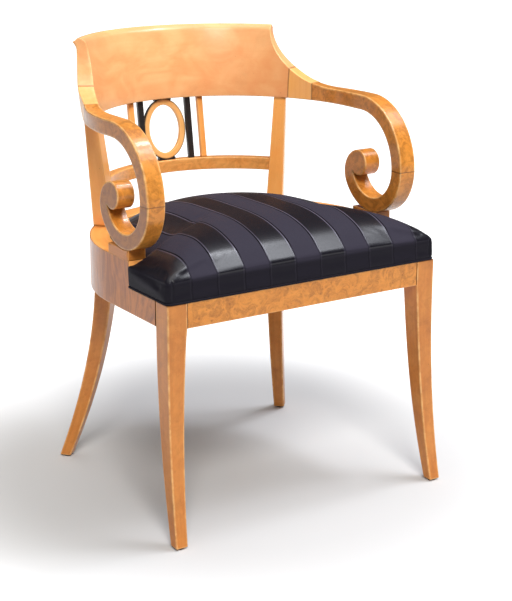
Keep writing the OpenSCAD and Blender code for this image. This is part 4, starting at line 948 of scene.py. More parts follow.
class BuildLegs(bpy.types.Operator):
    """Build the four sabre legs."""
    bl_idname = "armchair.legs"
    bl_label = "Legs"

    def execute(self, context):
        rails = context.scene.armchair_rails
        legs = context.scene.armchair_legs
        shares = spread(0.0, 1.0, 26)
        foot = ("edge", legs.rounding)
        rows = [self.front_row(rails, legs, z, 0.0) for z in (rails.low_top, rails.low_top - 0.02)]
        rows += [self.front_row(rails, legs, rails.bottom - (rails.bottom - legs.glide) * share, share)
                 for share in shares]
        both_hands("front_leg", rows, finish("leg_birch"), "birch", stop=foot)
        rows = [self.rear_row(rails, legs, share) for share in shares]
        both_hands("rear_leg", rows, finish("leg_birch"), "birch", stop=foot)
        return {"FINISHED"}

    def front_row(self, rails, legs, z, share):
        """Section of the right front leg, a share of the way down from the rail."""
        y = -legs.front_throw * share ** 2.4
        deep = legs.front_depth + (legs.front_foot_depth - legs.front_depth) * share ** 1.5
        x1 = rails.half_width + legs.front_splay * share ** 2
        x0 = x1 - (legs.front_width + (legs.front_foot_width - legs.front_width) * share ** 0.7)
        return four_sided([at(x0, y, z), at(x1, y, z), at(x1, y + deep, z), at(x0, y + deep, z)],
                          rails.low_top - z, legs.rounding)

    def rear_row(self, rails, legs, share):
        """Section of the right rear leg, in its own turned frame."""
        middle = rails.half_width - (rails.thickness + rails.veneer) / 2
        centre = Vector((0, rails.bend_y)) + polar(middle, legs.rear_angle)
        side = Vector((math.cos(legs.rear_turn), -math.sin(legs.rear_turn)))
        out = Vector((math.sin(legs.rear_turn), math.cos(legs.rear_turn)))
        half = (legs.rear_size + (legs.rear_foot - legs.rear_size) * share) / 2
        z = rails.bottom - (rails.bottom - legs.glide) * share
        middle = centre + out * legs.rear_throw * share ** 1.7
        corners = [middle + side * (half * i) + out * (half * j)
                   for i, j in ((-1, -1), (1, -1), (1, 1), (-1, 1))]
        return four_sided([at(c.x, c.y, z) for c in corners], rails.bottom - z, legs.rounding)


# ---------------------------------------------------------------- crest rail, knees and posts

# Shares of its height at which the crest rail's faces have points, closest where its top edge rolls over.
FACE_SHARES = [0, 0.02, 0.07, 0.15, 0.25, 0.36, 0.47, 0.58, 0.68, 0.77, 0.84, 0.89,
               0.925, 0.945, 0.96, 0.975, 0.988, 1]


class Crest:
    """The crest rail's curved form, which the knees and the arms' tops share."""

    def __init__(self, context):
        self.back = context.scene.armchair_back
        self.half = context.scene.armchair_rails.half_width
        self.arm_width = context.scene.armchair_arms.width
        self.arm_top = self.back.bottom + context.scene.armchair_arms.thickness
        self.top = self.back.bottom + self.back.height
        self.middle = self.back.inner + self.back.thickness / 2
        self.out_curve = self.plan_curve(self.half, self.back.inner + self.back.thickness)
        self.in_curve = self.plan_curve(self.half - self.arm_width, self.back.inner)

    def plan_curve(self, x0, r):
        """Circle from the straight side x0 into the crest rail's circle: radius, centre x, centre y."""
        c = math.cos(self.back.knee_top)
        rho = (x0 - r * c) / (1 - c)
        return rho, x0 - rho, self.back.centre_y + (r - rho) * math.sin(self.back.knee_top)

    def curve_radius(self, curve, a):
        """Distance from the crest rail's centre to that circle, at angle a."""
        dx, dy = curve[1], curve[2] - self.back.centre_y
        b = dx * math.cos(a) + dy * math.sin(a)
        return b + math.sqrt(curve[0] ** 2 - dx * dx - dy * dy + b * b)

    def front(self, a, u):
        """Radius of the inner face at angle a and share u of the height."""
        a = math.pi - a if a > math.pi / 2 else a
        b = self.back
        base = self.curve_radius(self.in_curve, a) if a < b.knee_top else b.inner
        flared = smooth((a - b.knee_low) / (b.knee_top - b.knee_low))
        rolled = clamp((u - 0.94) / 0.06) ** 1.6
        return base + flared * (b.lean * math.sin(a) + b.flare) * u ** 1.6 + b.roll * rolled

    def rear(self, a, u):
        """Radius of the outer face at angle a and share u of the height."""
        a = math.pi - a if a > math.pi / 2 else a
        b = self.back
        base = self.curve_radius(self.out_curve, a) if a < b.knee_top else b.inner + b.thickness
        flared = smooth((a - b.knee_low) / (b.knee_top - b.knee_low))
        return base + flared * b.lean * math.sin(a) * u ** 0.55 + b.lip * self.lip(u)

    def lip(self, u):
        """Share of the lip at share u of the height."""
        return clamp((u - 0.88) / 0.12) ** 2

    def swoop_z(self, run):
        """Height of the top edge at a distance along the swoop."""
        low = self.back.swoop_top - self.back.swoop_run
        t = (run - low) / self.back.swoop_run
        if t <= 0:
            return self.arm_top
        return self.top - (self.top - self.arm_top) * math.sqrt(max(0.0, 1 - t * t))

    def top_z(self, a):
        """Height of the top edge of the knee at angle a."""
        r = (self.front(a, 0) + self.rear(a, 0)) / 2
        return self.swoop_z(r * math.sin(a - self.back.swoop_turn))

    def spot(self, a, r, z):
        """Point at angle a, radius r and height z."""
        return at(r * math.cos(a), self.back.centre_y + r * math.sin(a), z)

    def row(self, s, z, inward):
        """Section whose top edge lies at distance s round the curve and height z."""
        ease = self.back.rounding
        quarter = [(ease * (1 - math.sin(a)), ease * (1 - math.cos(a)))
                   for a in spread(0, math.pi / 2, 3)[1:]]
        low, high = self.back.bottom, self.back.height
        points, places, edges = [], [], []

        def put(si, zi, r, edge):
            points.append(self.spot(si / self.middle, r, zi))
            places.append(Vector((si, zi, r)))
            edges.append(edge)

        def share(zi):
            return clamp((zi - low) / high)

        s_in, z_in = s + inward[0] * ease, z + inward[1] * ease
        drop = self.back.lip * self.lip(share(z))
        for q in FACE_SHARES:
            zi = low + ease + (z_in - low - ease) * q
            put(s_in, zi, self.front(s_in / self.middle, share(zi)), 1.0 if q in (0, 1) else 0.0)
        r_front = self.front(s / self.middle, share(z))
        r_rear = self.rear(s / self.middle, share(z))
        for inset, over in quarter:
            put(s + inward[0] * inset, z + inward[1] * inset, r_front + over, 1.0)
        for q in (0.2, 0.5, 0.8):
            r = r_front + ease + (r_rear - r_front - 2 * ease) * q
            put(s, z - drop * smooth((q - 0.3) / 0.7), r, 0.0)
        for inset, over in reversed(quarter):
            put(s + inward[0] * inset, z + inward[1] * inset - drop, r_rear - over, 1.0)
        for q in reversed(FACE_SHARES):
            zi = low + ease + (z_in - drop - low - ease) * q
            put(s_in, zi, self.rear(s_in / self.middle, share(zi + drop * q)), 1.0 if q in (0, 1) else 0.0)
        r_front = self.front(s_in / self.middle, 0)
        r_rear = self.rear(s_in / self.middle, 0)
        for inset, over in quarter:
            put(s_in, low + inset, r_rear - over, 1.0)
        for q in (0.85, 0.5, 0.15):
            put(s_in, low, r_front + ease + (r_rear - r_front - 2 * ease) * q, 0.0)
        for inset, over in reversed(quarter):
            put(s_in, low + inset, r_front + over, 1.0)
        return Row(points, places, edges)

    def rows(self, edge):
        """Sections under a top edge, given as (distance round the curve, height)."""
        rows = []
        for i, (s, z) in enumerate(edge):
            before, after = edge[max(0, i - 1)], edge[min(len(edge) - 1, i + 1)]
            ds, dz = after[0] - before[0], after[1] - before[1]
            size = math.hypot(ds, dz)
            rows.append(self.row(s, z, (dz / size, -ds / size)))
        return rows

    def crest_edge(self):
        """The crest rail's top edge, from the right knee over both corners to the left knee."""
        b = self.back
        low = b.swoop_top - b.swoop_run
        soft = 0.0026
        fall = self.top - self.arm_top

        def swoop_angle(q):
            return b.swoop_turn + math.asin((low + b.swoop_run * math.cos(q * math.pi / 2)) / self.middle)

        met = math.sin(b.knee_top - b.swoop_turn) * self.middle
        knee = math.acos((met - low) / b.swoop_run) / (math.pi / 2)
        first = math.asin(soft / fall) / (math.pi / 2)
        count = 30
        edge = []
        for i in range(count + 1):
            q = knee + (first - knee) * i / count
            edge.append((swoop_angle(q) * self.middle, self.top - fall * math.sin(q * math.pi / 2)))
        corner = Vector((swoop_angle(0) * self.middle, self.top))
        start, stop = Vector(edge[-1]), corner + Vector((soft, 0))
        for k in (1, 2, 3, 4):
            t = k / 4
            edge.append(tuple(start * (1 - t) ** 2 + corner * (2 * t * (1 - t)) + stop * t * t))
        half_round = math.pi / 2 * self.middle
        run = half_round - edge[-1][0]
        edge += [(edge[-1][0] + run * i / 34, self.top) for i in range(1, 35)]
        right = edge[:-1]
        return right + [edge[-1]] + [(2 * half_round - s, z) for s, z in reversed(right)]

    def knee_edge(self):
        """The top edge of the right knee, from the arm up to the crest rail."""
        b = self.back
        angles = [b.knee_low + (b.knee_top - b.knee_low) * i / 12 for i in range(13)]
        return [(a * self.middle, self.top_z(a)) for a in angles]


class BuildCrest(bpy.types.Operator):
    """Build the crest rail and its two knees."""
    bl_idname = "armchair.crest"
    bl_label = "Crest rail and knees"

    def execute(self, context):
        form = Crest(context)
        loft("crest_rail", form.rows(form.crest_edge()), finish("crest_birch"), "birch", ["crest_rail"])
        both_hands("knee", form.rows(form.knee_edge()), finish("knee_birch"), "birch")
        return {"FINISHED"}


class BuildPosts(bpy.types.Operator):
    """Build the two back posts."""
    bl_idname = "armchair.posts"
    bl_label = "Back posts"

    def execute(self, context):
        rails = context.scene.armchair_rails
        back = context.scene.armchair_back
        legs = context.scene.armchair_legs
        foot = self.corners(legs.rear_angle, back.post_foot_radius, rails.bend_y, back.post_turn,
                            back.post_foot_width, back.post_foot_depth)
        head = self.corners(back.post_head_angle, back.inner + back.post_head_depth / 2, back.centre_y,
                            back.post_turn, back.post_head_width, back.post_head_depth)
        rows = []
        for i in range(17):
            share = i / 16
            z = rails.raised_top + (back.bottom - rails.raised_top) * share
            places = [f.lerp(h, share) for f, h in zip(foot, head)]
            rows.append(four_sided([at(p.x, p.y, z) for p in places], z, back.rounding))
        # The band at each post's head is painted shadow under the crest rail.
        both_hands("back_post", rows, finish("post_birch"), "birch",
                   start=("joint", back.post_joint, FOOT_BAND), stop=("joint", back.post_joint, HEAD_SHADOW))
        return {"FINISHED"}

    def corners(self, angle, radius, centre_y, facing, width, depth):
        """Plan corners of a turned rectangle at a place round a centre."""
        middle = Vector((radius * math.cos(angle), centre_y + radius * math.sin(angle)))
        side = Vector((math.cos(facing), -math.sin(facing))) * (width / 2)
        out = Vector((math.sin(facing), math.cos(facing))) * (depth / 2)
        return [middle - side - out, middle + side - out, middle + side + out, middle - side + out]


# ---------------------------------------------------------------- arms and scrolls


class BuildArms(bpy.types.Operator):
    """Build the arms with their front curves."""
    bl_idname = "armchair.arms"
    bl_label = "Arms"

    def execute(self, context):
        form = Crest(context)
        arms = context.scene.armchair_arms
        back = context.scene.armchair_back
        x1 = form.half
        x0 = x1 - arms.width
        zc = arms.scroll_bottom + arms.scroll_radius
        bend = arms.scroll_y - arms.scroll_radius + arms.reach
        rise = form.arm_top - zc
        rows = []
        for a in spread(math.pi, math.pi / 2, 34):
            c, s = math.cos(a), math.sin(a)
            outer = (bend + arms.reach * c, zc + rise * s)
            inner = (bend + (arms.reach - arms.thickness) * c, zc + (rise - arms.thickness) * s)
            rows.append(four_sided([at(x0, *inner), at(x1, *inner), at(x1, *outer), at(x0, *outer)],
                                   (arms.reach + rise) / 2 * (math.pi - a), arms.rounding))
        along = (arms.reach + rise) / 2 * math.pi / 2
        start = math.atan2(form.out_curve[2] - back.centre_y + 0.004, x1)
        for a in spread(start, back.knee_low, 24):
            r_in = x0 / math.cos(a)
            if back.centre_y + r_in * math.sin(a) > form.in_curve[2]:
                r_in = form.curve_radius(form.in_curve, a)
            r_out = form.curve_radius(form.out_curve, a)
            corners = []
            for r, z in ((r_in, back.bottom), (r_out, back.bottom), (r_out, None), (r_in, None)):
                p = Vector((r * math.cos(a), r * math.sin(a)))
                if z is None:
                    run = p.y * math.cos(back.swoop_turn) - p.x * math.sin(back.swoop_turn)
                    z = form.swoop_z(run)
                corners.append(at(p.x, back.centre_y + p.y, z))
            rows.append(four_sided(corners, along + form.half * (a - start) + 0.016, arms.rounding))
        both_hands("arm", rows, finish("arm_burl"), "burl")
        return {"FINISHED"}


class BuildScrolls(bpy.types.Operator):
    """Build the scrolls and the blocks that carry them."""
    bl_idname = "armchair.scrolls"
    bl_label = "Scrolls and blocks"

    def execute(self, context):
        rails = context.scene.armchair_rails
        arms = context.scene.armchair_arms
        x1 = rails.half_width
        x0 = x1 - arms.width
        scroll, block = self.scroll_outline(arms), self.block_outline(rails, arms)
        for side, hand in (("right", 1), ("left", -1)):
            sawn(f"scroll_{side}", scroll, x0, x1, arms.rounding, finish("scroll_burl"),
                 [f"scroll_{side}"], hand)
            sawn(f"scroll_block_{side}", block, x0, x1, arms.block_rounding, finish("block_birch"),
                 [f"scroll_block_{side}"], hand)
        return {"FINISHED"}

    def scroll_outline(self, arms):
        """Side view of a scroll: round its outside, over the rolled end and back inside the band."""
        centre = Vector((arms.scroll_y, arms.scroll_bottom + arms.scroll_radius))
        inner = arms.scroll_radius - arms.thickness
        over = centre + polar(arms.scroll_radius - arms.turn_radius, -arms.turn_low)
        eye = over + polar(arms.turn_radius - arms.eye, arms.turn_high)
        gap = eye - centre
        away = (gap.length ** 2 + inner ** 2 - arms.eye ** 2) / (2 * gap.length)
        tilt = math.atan2(gap.y, gap.x)
        crease = tilt - math.acos(away / inner)
        met = centre + polar(inner, crease) - eye
        full = 2 * math.pi
        loop = []
        for middle, radius, angles in (
                (centre, arms.scroll_radius, [math.pi, math.pi + 0.009]),
                (centre, arms.scroll_radius, spread(math.pi + 0.05, full - arms.turn_low, 46)),
                (over, arms.turn_radius, spread(-arms.turn_low, arms.turn_high, 24)[1:-1]),
                (eye, arms.eye, spread(arms.turn_high, math.atan2(met.y, met.x) + full, 36)),
                (centre, inner, spread(crease, 0.07 - math.pi, 44)[1:]),
                (centre, inner, [0.013 - math.pi, -math.pi])):
            loop += [middle + polar(radius, a) for a in angles]
            if middle == eye:
                deep = len(loop) - 1
        last = len(loop) - 1
        # Painted shade in the crease under the rolled end: these seam marks darken the scroll there, most at
        # the crease itself.
        dirt = [0.95 * clamp(1.15 - abs(i - deep) / 8) for i in range(last + 1)]  # deepest in the crease
        return [(p.x, p.y, 1.0 if i in (0, last) else dirt[i]) for i, p in enumerate(loop)]

    def block_outline(self, rails, arms):
        """Side view of a block, hollowed to seat the scroll."""
        y0, y1 = rails.step_y, rails.step_y + arms.block_length
        r, z = arms.scroll_radius, arms.scroll_bottom + arms.scroll_radius
        half = math.sqrt(r ** 2 - (z - arms.block_top) ** 2)
        foot, top, ease, lift = rails.raised_top, arms.block_top, 0.0008, 0.0012
        loop = [(y0, foot, 1.0), (y1, foot, 1.0), (y1, foot + lift, 0.0), (y1, top - ease, 0.0),
                (y1 - ease, top, 0.0)]
        # The hollow is darkened like a joint, which also paints the contact shadow under the scroll.
        for a in spread(math.asin(half / r), -math.asin(half / r), 9):
            loop.append((arms.scroll_y + r * math.sin(a), z - r * math.cos(a), 0.6))
        return loop + [(y0 + ease / 4, top, 0.0), (y0, top - ease, 0.0), (y0, foot + lift, 0.0)]


# ---------------------------------------------------------------- the back


class BuildBack(bpy.types.Operator):
    """Build the mid rail, the four bars and the oval ring."""
    bl_idname = "armchair.back"
    bl_label = "Mid rail, bars and ring"

    def execute(self, context):
        back = context.scene.armchair_back
        inner, outer = back.rail_inner, back.rail_inner + back.rail_thickness
        z0, z1 = back.rail_top - back.rail_height, back.rail_top
        rows = []
        for a in spread(back.post_head_angle, math.pi - back.post_head_angle, 60):
            near, away = ((r * math.cos(a), back.centre_y + r * math.sin(a)) for r in (inner, outer))
            rows.append(four_sided([at(*near, z0), at(*away, z0), at(*away, z1), at(*near, z1)],
                                   a * inner, back.rounding))
        loft("mid_rail", rows, finish("rail_birch"), "birch", ["mid_rail"], start=(*JOINT, RAIL_BAND),
             stop=(*JOINT, RAIL_BAND))
        self.bars("black_bar", back, back.black_x, back.black_width, finish("ebonised"), "ebony")
        self.bars("birch_bar", back, back.birch_x, back.birch_width, finish("bar_birch"), "birch")
        self.ring(back)
        return {"FINISHED"}

    def bars(self, name, back, x, width, material, slot):
        """A pair of bars between mid rail and crest rail."""
        foot_r, head_r = back.rail_inner + back.rail_thickness / 2, back.inner + back.thickness / 2
        foot_y, head_y = (back.centre_y + math.sqrt(r * r - x * x) for r in (foot_r, head_r))
        half, deep = width / 2, back.bar_depth / 2
        rows = []
        for y, z in zip(spread(foot_y, head_y, 12), spread(back.rail_top, back.bottom, 12)):
            corners = [at(x + i * half, y + j * deep, z) for i, j in ((-1, -1), (1, -1), (1, 1), (-1, 1))]
            rows.append(four_sided(corners, z, back.bar_rounding))
        # The band at each bar's head is painted shadow under the crest rail.
        both_hands(name, rows, material, slot, start=(*JOINT, FOOT_BAND), stop=(*JOINT, HEAD_SHADOW))

    def ring(self, back):
        """The oval ring, birch in front and behind with a black rim."""
        foot_r, head_r = back.rail_inner + back.rail_thickness / 2, back.inner + back.thickness / 2
        centre = Vector((0, back.centre_y + (foot_r + head_r) / 2, (back.rail_top + back.bottom) / 2))
        up = Vector((0, math.sin(back.ring_lean), math.cos(back.ring_lean)))
        rear = Vector((0, math.cos(back.ring_lean), -math.sin(back.ring_lean))) * (back.bar_depth / 2)
        high = ((back.bottom - back.rail_top) / 2 - back.ring_pad) / math.cos(back.ring_lean)
        rows = []
        count = 96
        for i in range(count):
            a = 2 * math.pi * i / count
            c, s = math.cos(a), math.sin(a)
            outer = centre + Vector((back.ring_half_width * c, 0, 0)) + up * (high * s)
            inner = (centre + Vector(((back.ring_half_width - back.ring_band) * c, 0, 0))
                     + up * ((high - back.ring_band) * s))
            corners = [inner - rear, outer - rear, outer + rear, inner + rear]
            rows.append(four_sided([at(*p) for p in corners], a * back.ring_half_width, back.bar_rounding))
        piece = loft("back_ring", rows, finish("ring_birch"), "birch", ["back_ring"], ring=True)
        half = back.ring_band / 2
        rim = [smooth((p.y - half + 0.0016) / 0.0008) for r in rows for p in r.places]
        piece.data.attributes.new("rim", "FLOAT", "POINT").data.foreach_set("value", rim)


# ---------------------------------------------------------------- the seat


def seat_outline(rails, seat, inset, ease=0.0):
    """Outline of the seat in plan, from the middle of the front. It narrows by ease ahead of the step."""
    w, y0 = seat.half_width - inset, inset - seat.front
    r, y1 = seat.rear_radius - inset, rails.step_y - 0.0005 - inset
    c = seat.corner
    half = [(x, y0) for x in spread(0.0, w - c, 20)[:-1]]
    half += corner_arc(w - c, y0 + c, c)
    half += [(w, y) for y in spread(y0 + c, y1 - ease, 10)[1:]]
    half += list(zip(spread(w, r, 4), spread(y1 - ease, y1, 4)))[1:]
    half += [(r, y) for y in spread(y1, rails.bend_y, 6)[1:]]
    half += [(r * math.cos(a), rails.bend_y + r * math.sin(a)) for a in spread(0.0, math.pi / 2, 30)[1:]]
    return half + [(-x, y) for x, y in reversed(half[1:-1])]


def corner_arc(x, y, radius):
    """Points round the right front corner, from the front to the side."""
    return [(x + radius * math.sin(a), y - radius * math.cos(a)) for a in spread(0.0, math.pi / 2, 8)]


class BuildSeat(bpy.types.Operator):
    """Build the stuffed seat, blow it up as cloth, and sew its folds and its welt."""
    bl_idname = "armchair.seat"
    bl_label = "Seat"

    def execute(self, context):
        rails = context.scene.armchair_rails
        seat = context.scene.armchair_seat
        cover = self.crowned_form(rails, seat)
        self.apply(cover, "REMESH", mode="VOXEL", voxel_size=seat.grid)
        self.soften(cover, seat)
        self.blow_up(context, cover, rails, seat)
        self.apply(cover, "SUBSURF", levels=1)
        self.fold_corners(cover, seat)
        self.keep_in_room(cover, rails, seat)
        cover.data.polygons.foreach_set("use_smooth", [True] * len(cover.data.polygons))
        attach(cover, "root")
        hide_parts("seat_cover", "stuffing")
        self.welt(rails, seat)
        return {"FINISHED"}

    def crowned_form(self, rails, seat):
        """Closed form of the seat: boxed edge below, star-shaped crown above."""
        inset = 0.0004
        tuck_down, tuck_in = 0.0038, 0.0026  # the cover's lower edge runs down behind the welt
        foot = seat_outline(rails, seat, inset)
        rim = seat_outline(rails, seat, inset - seat.swell * 0.6)
        eased = seat_outline(rails, seat, inset - seat.swell * 0.6, 0.020)
        levels = [(seat.bottom - tuck_down, seat_outline(rails, seat, inset + tuck_in)), (seat.bottom, foot),
                  (seat.bottom + 0.01, seat_outline(rails, seat, inset - seat.swell * 0.4)),
                  (seat.edge_top - 0.008, rim)]
        points = []
        for z, loop in levels:
            points += [at(x, y, z) for x, y in loop]
        points += [at(x, y, seat.edge_top + self.bow(seat, x, y)) for x, y in rim]
        shares = [0.99, 0.975, 0.95, 0.91, 0.86, 0.8, 0.72, 0.63, 0.53, 0.42, 0.3, 0.18, 0.08]
        top = seat.edge_top + seat.crown
        for f in shares:
            for x, y in eased:
                z = top - (seat.crown - self.bow(seat, x, y)) * f ** 3.6
                points.append(at(x * f, seat.crown_y + (y - seat.crown_y) * f, z))
        n, m = len(foot), len(levels) + 1 + len(shares)
        faces = [(i * n + j, i * n + (j + 1) % n, (i + 1) * n + (j + 1) % n, (i + 1) * n + j)
                 for i in range(m - 1) for j in range(n)]
        points += [at(0, seat.crown_y, top), at(0, rails.step_y - 0.0095, seat.bottom - tuck_down)]
        faces += [((m - 1) * n + j, (m - 1) * n + (j + 1) % n, m * n) for j in range(n)]
        faces += [((j + 1) % n, j, m * n + 1) for j in range(n)]
        mesh = new_mesh("seat_cover", points, faces)
        mesh.materials.append(finish("striped_satin"))
        cover = bpy.data.objects.new("seat_satin", mesh)
        bpy.context.scene.collection.objects.link(cover)
        return cover

    def bow(self, seat, x, y):
        """Rise of the boxing's edge over its corners."""
        if y > seat.crown_y:
            return 0.0
        return seat.bow * max(0.0, 1 - (x / seat.half_width) ** 2)

    def apply(self, piece, kind, **settings):
        """Adds one modifier with its settings and applies it."""
        step = piece.modifiers.new("step", kind)
        for key, value in settings.items():
            setattr(step, key, value)
        with bpy.context.temp_override(object=piece, active_object=piece, selected_objects=[piece]):
            bpy.ops.object.modifier_apply(modifier="step")

    def soften(self, piece, seat):
        """Evens out the crown above the boxing, as stretched cloth does."""
        crown = piece.vertex_groups.new(name="crown")
        for i, vertex in enumerate(piece.data.vertices):
            over = vertex.co.z - seat.edge_top - self.bow(seat, vertex.co.x, vertex.co.y + FRONT_TO_ORIGIN)
            crown.add([i], smooth((over - 0.004) / 0.014), "REPLACE")
        self.apply(piece, "SMOOTH", factor=0.5, iterations=60, vertex_group="crown")
        piece.vertex_groups.clear()

    def blow_up(self, context, piece, rails, seat):
        """Swells the cover under pressure, held along its lower edge and between the rails."""
        start = [v.co.copy() for v in piece.data.vertices]
        held = piece.vertex_groups.new(name="held")
        for i, co in enumerate(start):
            between = co.y + FRONT_TO_ORIGIN > rails.step_y - 0.004 and abs(co.x) > 0
            if co.z < seat.bottom + 0.006 or (between and co.z < rails.raised_top):
                held.add([i], 1.0, "REPLACE")
        last_frame = 20
        cloth = piece.modifiers.new("cloth", "CLOTH")
        for key, value in {"quality": 6, "mass": 0.4, "tension_stiffness": 12, "compression_stiffness": 12,
                           "bending_stiffness": 0.6, "use_pressure": True, "uniform_pressure_force": 4,
                           "vertex_group_mass": "held"}.items():
            setattr(cloth.settings, key, value)
        cloth.settings.effector_weights.gravity = 0
        cloth.point_cache.frame_start, cloth.point_cache.frame_end = 1, last_frame
        for number in range(1, last_frame + 1):
            context.scene.frame_set(number)
        swollen = piece.evaluated_get(context.evaluated_depsgraph_get())
        moved = [v.co.copy() for v in swollen.to_mesh().vertices]
        swollen.to_mesh_clear()
        piece.modifiers.remove(cloth)
        piece.vertex_groups.remove(held)
        context.scene.frame_set(1)
        for vertex, before, after in zip(piece.data.vertices, start, moved):
            step = after - before
            if step.length > seat.cap:
                step = step * (seat.cap / step.length)
            vertex.co = before + step

    def fold_corners(self, piece, seat):
        """Tucks a pleat into each front corner and draws the boxed edge in along its top."""
        # distance from the side, half the width, and depth: the pleat, and the fold that stands out beside it
        pleats = ((0.0125, 0.0030, 0.0017), (0.0075, 0.0045, -0.0007))
        draw_in, below, half_high = 0.0007, 0.0045, 0.0032
        for vertex in piece.data.vertices:
            co = vertex.co
            y = co.y + FRONT_TO_ORIGIN
            side = 1 if co.x > 0 else -1
            upright = smooth((co.z - seat.bottom) / 0.006) * smooth((seat.edge_top + 0.012 - co.z) / 0.016)
            for inset, half, depth in pleats:
                away = abs(abs(co.x) - seat.half_width + inset) / half
                if y < 0.006 and away < 1:
                    co.y += depth * (1 - away * away) ** 2 * upright
            edge = abs(co.z - seat.edge_top - self.bow(seat, co.x, y) + below) / half_high
            outside = y < 0.012 or (abs(co.x) > seat.half_width - 0.016 and y < 0.128)
            if outside and edge < 1:
                deep = draw_in * (1 - edge * edge) ** 2
                if abs(co.x) > seat.half_width - 0.010:
                    co.x -= side * deep
                else:
                    co.y += deep

    def keep_in_room(self, piece, rails, seat):
        """Keeps the cloth clear of the raised rails."""
        for vertex in piece.data.vertices:
            co = vertex.co
            y = co.y + FRONT_TO_ORIGIN
            if co.z < rails.raised_top + 0.002:
                if y > rails.bend_y:
                    r = math.hypot(co.x, y - rails.bend_y)
                    if r > seat.rear_radius:
                        co.x *= seat.rear_radius / r
                        co.y = rails.bend_y + (y - rails.bend_y) * seat.rear_radius / r - FRONT_TO_ORIGIN
                elif y > rails.step_y - 0.0004 and abs(co.x) > seat.rear_radius:
                    co.y = rails.step_y - 0.0004 - FRONT_TO_ORIGIN

    def welt(self, rails, seat):
        """The welt along the seat's lower edge."""
        r = seat.welt / 2
        x, y, c = seat.half_width - r, r - seat.front, seat.corner - r
        stop = rails.step_y - 0.0006
        half = [(0.0, y), (0.08, y), (0.16, y), (0.22, y)] + corner_arc(x - c, y + c, c)
        half += [(x, v) for v in spread(y + c, stop, 8)[1:]]
        path = [Vector((-px, py)) for px, py in reversed(half[1:])] + [Vector(p) for p in half]
        rows = []
        along, sides = 0.0, 14
        for i, p in enumerate(path):
            before, after = path[max(0, i - 1)], path[min(len(path) - 1, i + 1)]
            ahead = (after - before).normalized()
            side = Vector((ahead.y, -ahead.x))
            along += (p - path[max(0, i - 1)]).length
            points, places = [], []
            for a in spread(0.0, 2 * math.pi, sides)[:-1]:
                q = p + side * (r * math.cos(a))
                points.append(at(q.x, q.y, rails.low_top + r + r * math.sin(a)))
                places.append(Vector((along, r * math.cos(a), r * math.sin(a))))
            rows.append(Row(points, places, [0.0] * sides))
        loft("seat_welt", rows, finish("plain_satin"), "satin", ["seat_welt"])


# ---------------------------------------------------------------- finishes


class MakeFinishes(bpy.types.Operator):
    """Make every finish, and give the CAD nodes that stay theirs."""
    bl_idname = "armchair.finishes"
    bl_label = "Finishes"

    def execute(self, context):
        t = context.scene.armchair_finishes
        for make in (make_grain_group, make_burl_group, make_wear_group, make_wax_and_shade_group, make_weave_group,
                     make_stripe_group):
            make()
        crest = (t.crest, t.crest_light, t.crest_dark)
        honey = (t.honey, t.honey_light, t.honey_dark)
        pale = (t.honey_light, t.crest_light, t.honey_dark)
        leg = (t.leg, t.leg_light, t.leg_dark)
        burl = (t.burl, t.burl_light, t.burl_dark)
        flank = (t.flank, t.flank_light, t.flank_dark)
        for name, tones, streak, figure, wear, dirt, more in (
                ("crest_birch", crest, 0.22, 0.75, 0.55, 0.12, {"burl": 0.10, "wave": 0.9, "size": 0.6}),
                ("knee_birch", pale, 0.34, 0.35, 0.6, 0.06, {"wave": 0.4, "axes": (1, 0, 2)}),
                ("post_birch", honey, 0.2, 0.5, 0.4, 0.1, {}),
                ("bar_birch", honey, 0.35, 0.4, 0.4, 0.25, {}),
                ("ring_birch", pale, 0.2, 0.4, 0.4, 0.15, {"rim": t.black}),
                ("rail_birch", (*honey[:2], t.leg_dark), 0.3, 0.5, 0.5, 0.25, {"burl": 0.35}),
                ("leg_birch", leg, 0.38, 0.6, 0.6, 0.3, {"burl": 0.28, "size": 0.8}),
                ("block_birch", leg, 0.4, 0.4, 0.4, 0.4, {}),
                ("rail_core", honey, 0.35, 0.4, 0.4, 0.3, {}),
                ("front_burl", burl, 0.15, 0.5, 0.4, 0.25, {"burl": 0.62}),
                # Arms and scrolls take painted shade on their outer left sides.
                ("arm_burl", burl, 0.12, 0.5, 0.7, 0.2, {"burl": 0.6, "size": 1.1, "shade": 0.3}),
                ("scroll_burl", burl, 0.12, 0.5, 0.7, 0.3, {"burl": 0.6, "shade": 0.6}),
                ("flank_veneer", flank, 0.85, 0.6, 0.4, 0.35,
                 {"burl": 0.15, "wave": 2.6, "axes": (2, 0, 1)})):
            polished_wood(name, *tones, streak, figure, wear, dirt, **more)
        ebonised_wood()
        striped_satin("striped_satin", True)
        striped_satin("plain_satin", False)
        raw_wood("beech_raw", t.beech, t.honey_dark)
        worked_metal("dark_iron", t.steel)
        coarse_cloth("jute_webbing", t.jute, 420.0, 0.0008)
        coarse_cloth("black_lining", t.lining, 1100.0, 0.0003)
        kept = {
            "beech_raw": ["rail_dowels", "corner_block_left", "corner_block_right", "seat_bearer_left",
                          "seat_bearer_right", "seat_bearer_back", "arm_dowels", "scroll_dowels", "ring_pins",
                          "seat_frame_front", "seat_frame_left", "seat_frame_right", "seat_frame_back"],
            "ebonised": ["ring_pad_top", "ring_pad_bottom"],
            "dark_iron": ["foot_glides", "corner_block_screws", "seat_screws"],
            "jute_webbing": ["webbing_long", "webbing_cross", "hessian"],
            "black_lining": ["bottom_cloth"],
        }
        for material, nodes in kept.items():
            for node in nodes:
                dress(node, finish(material))
        return {"FINISHED"}


# ---------------------------------------------------------------- studio


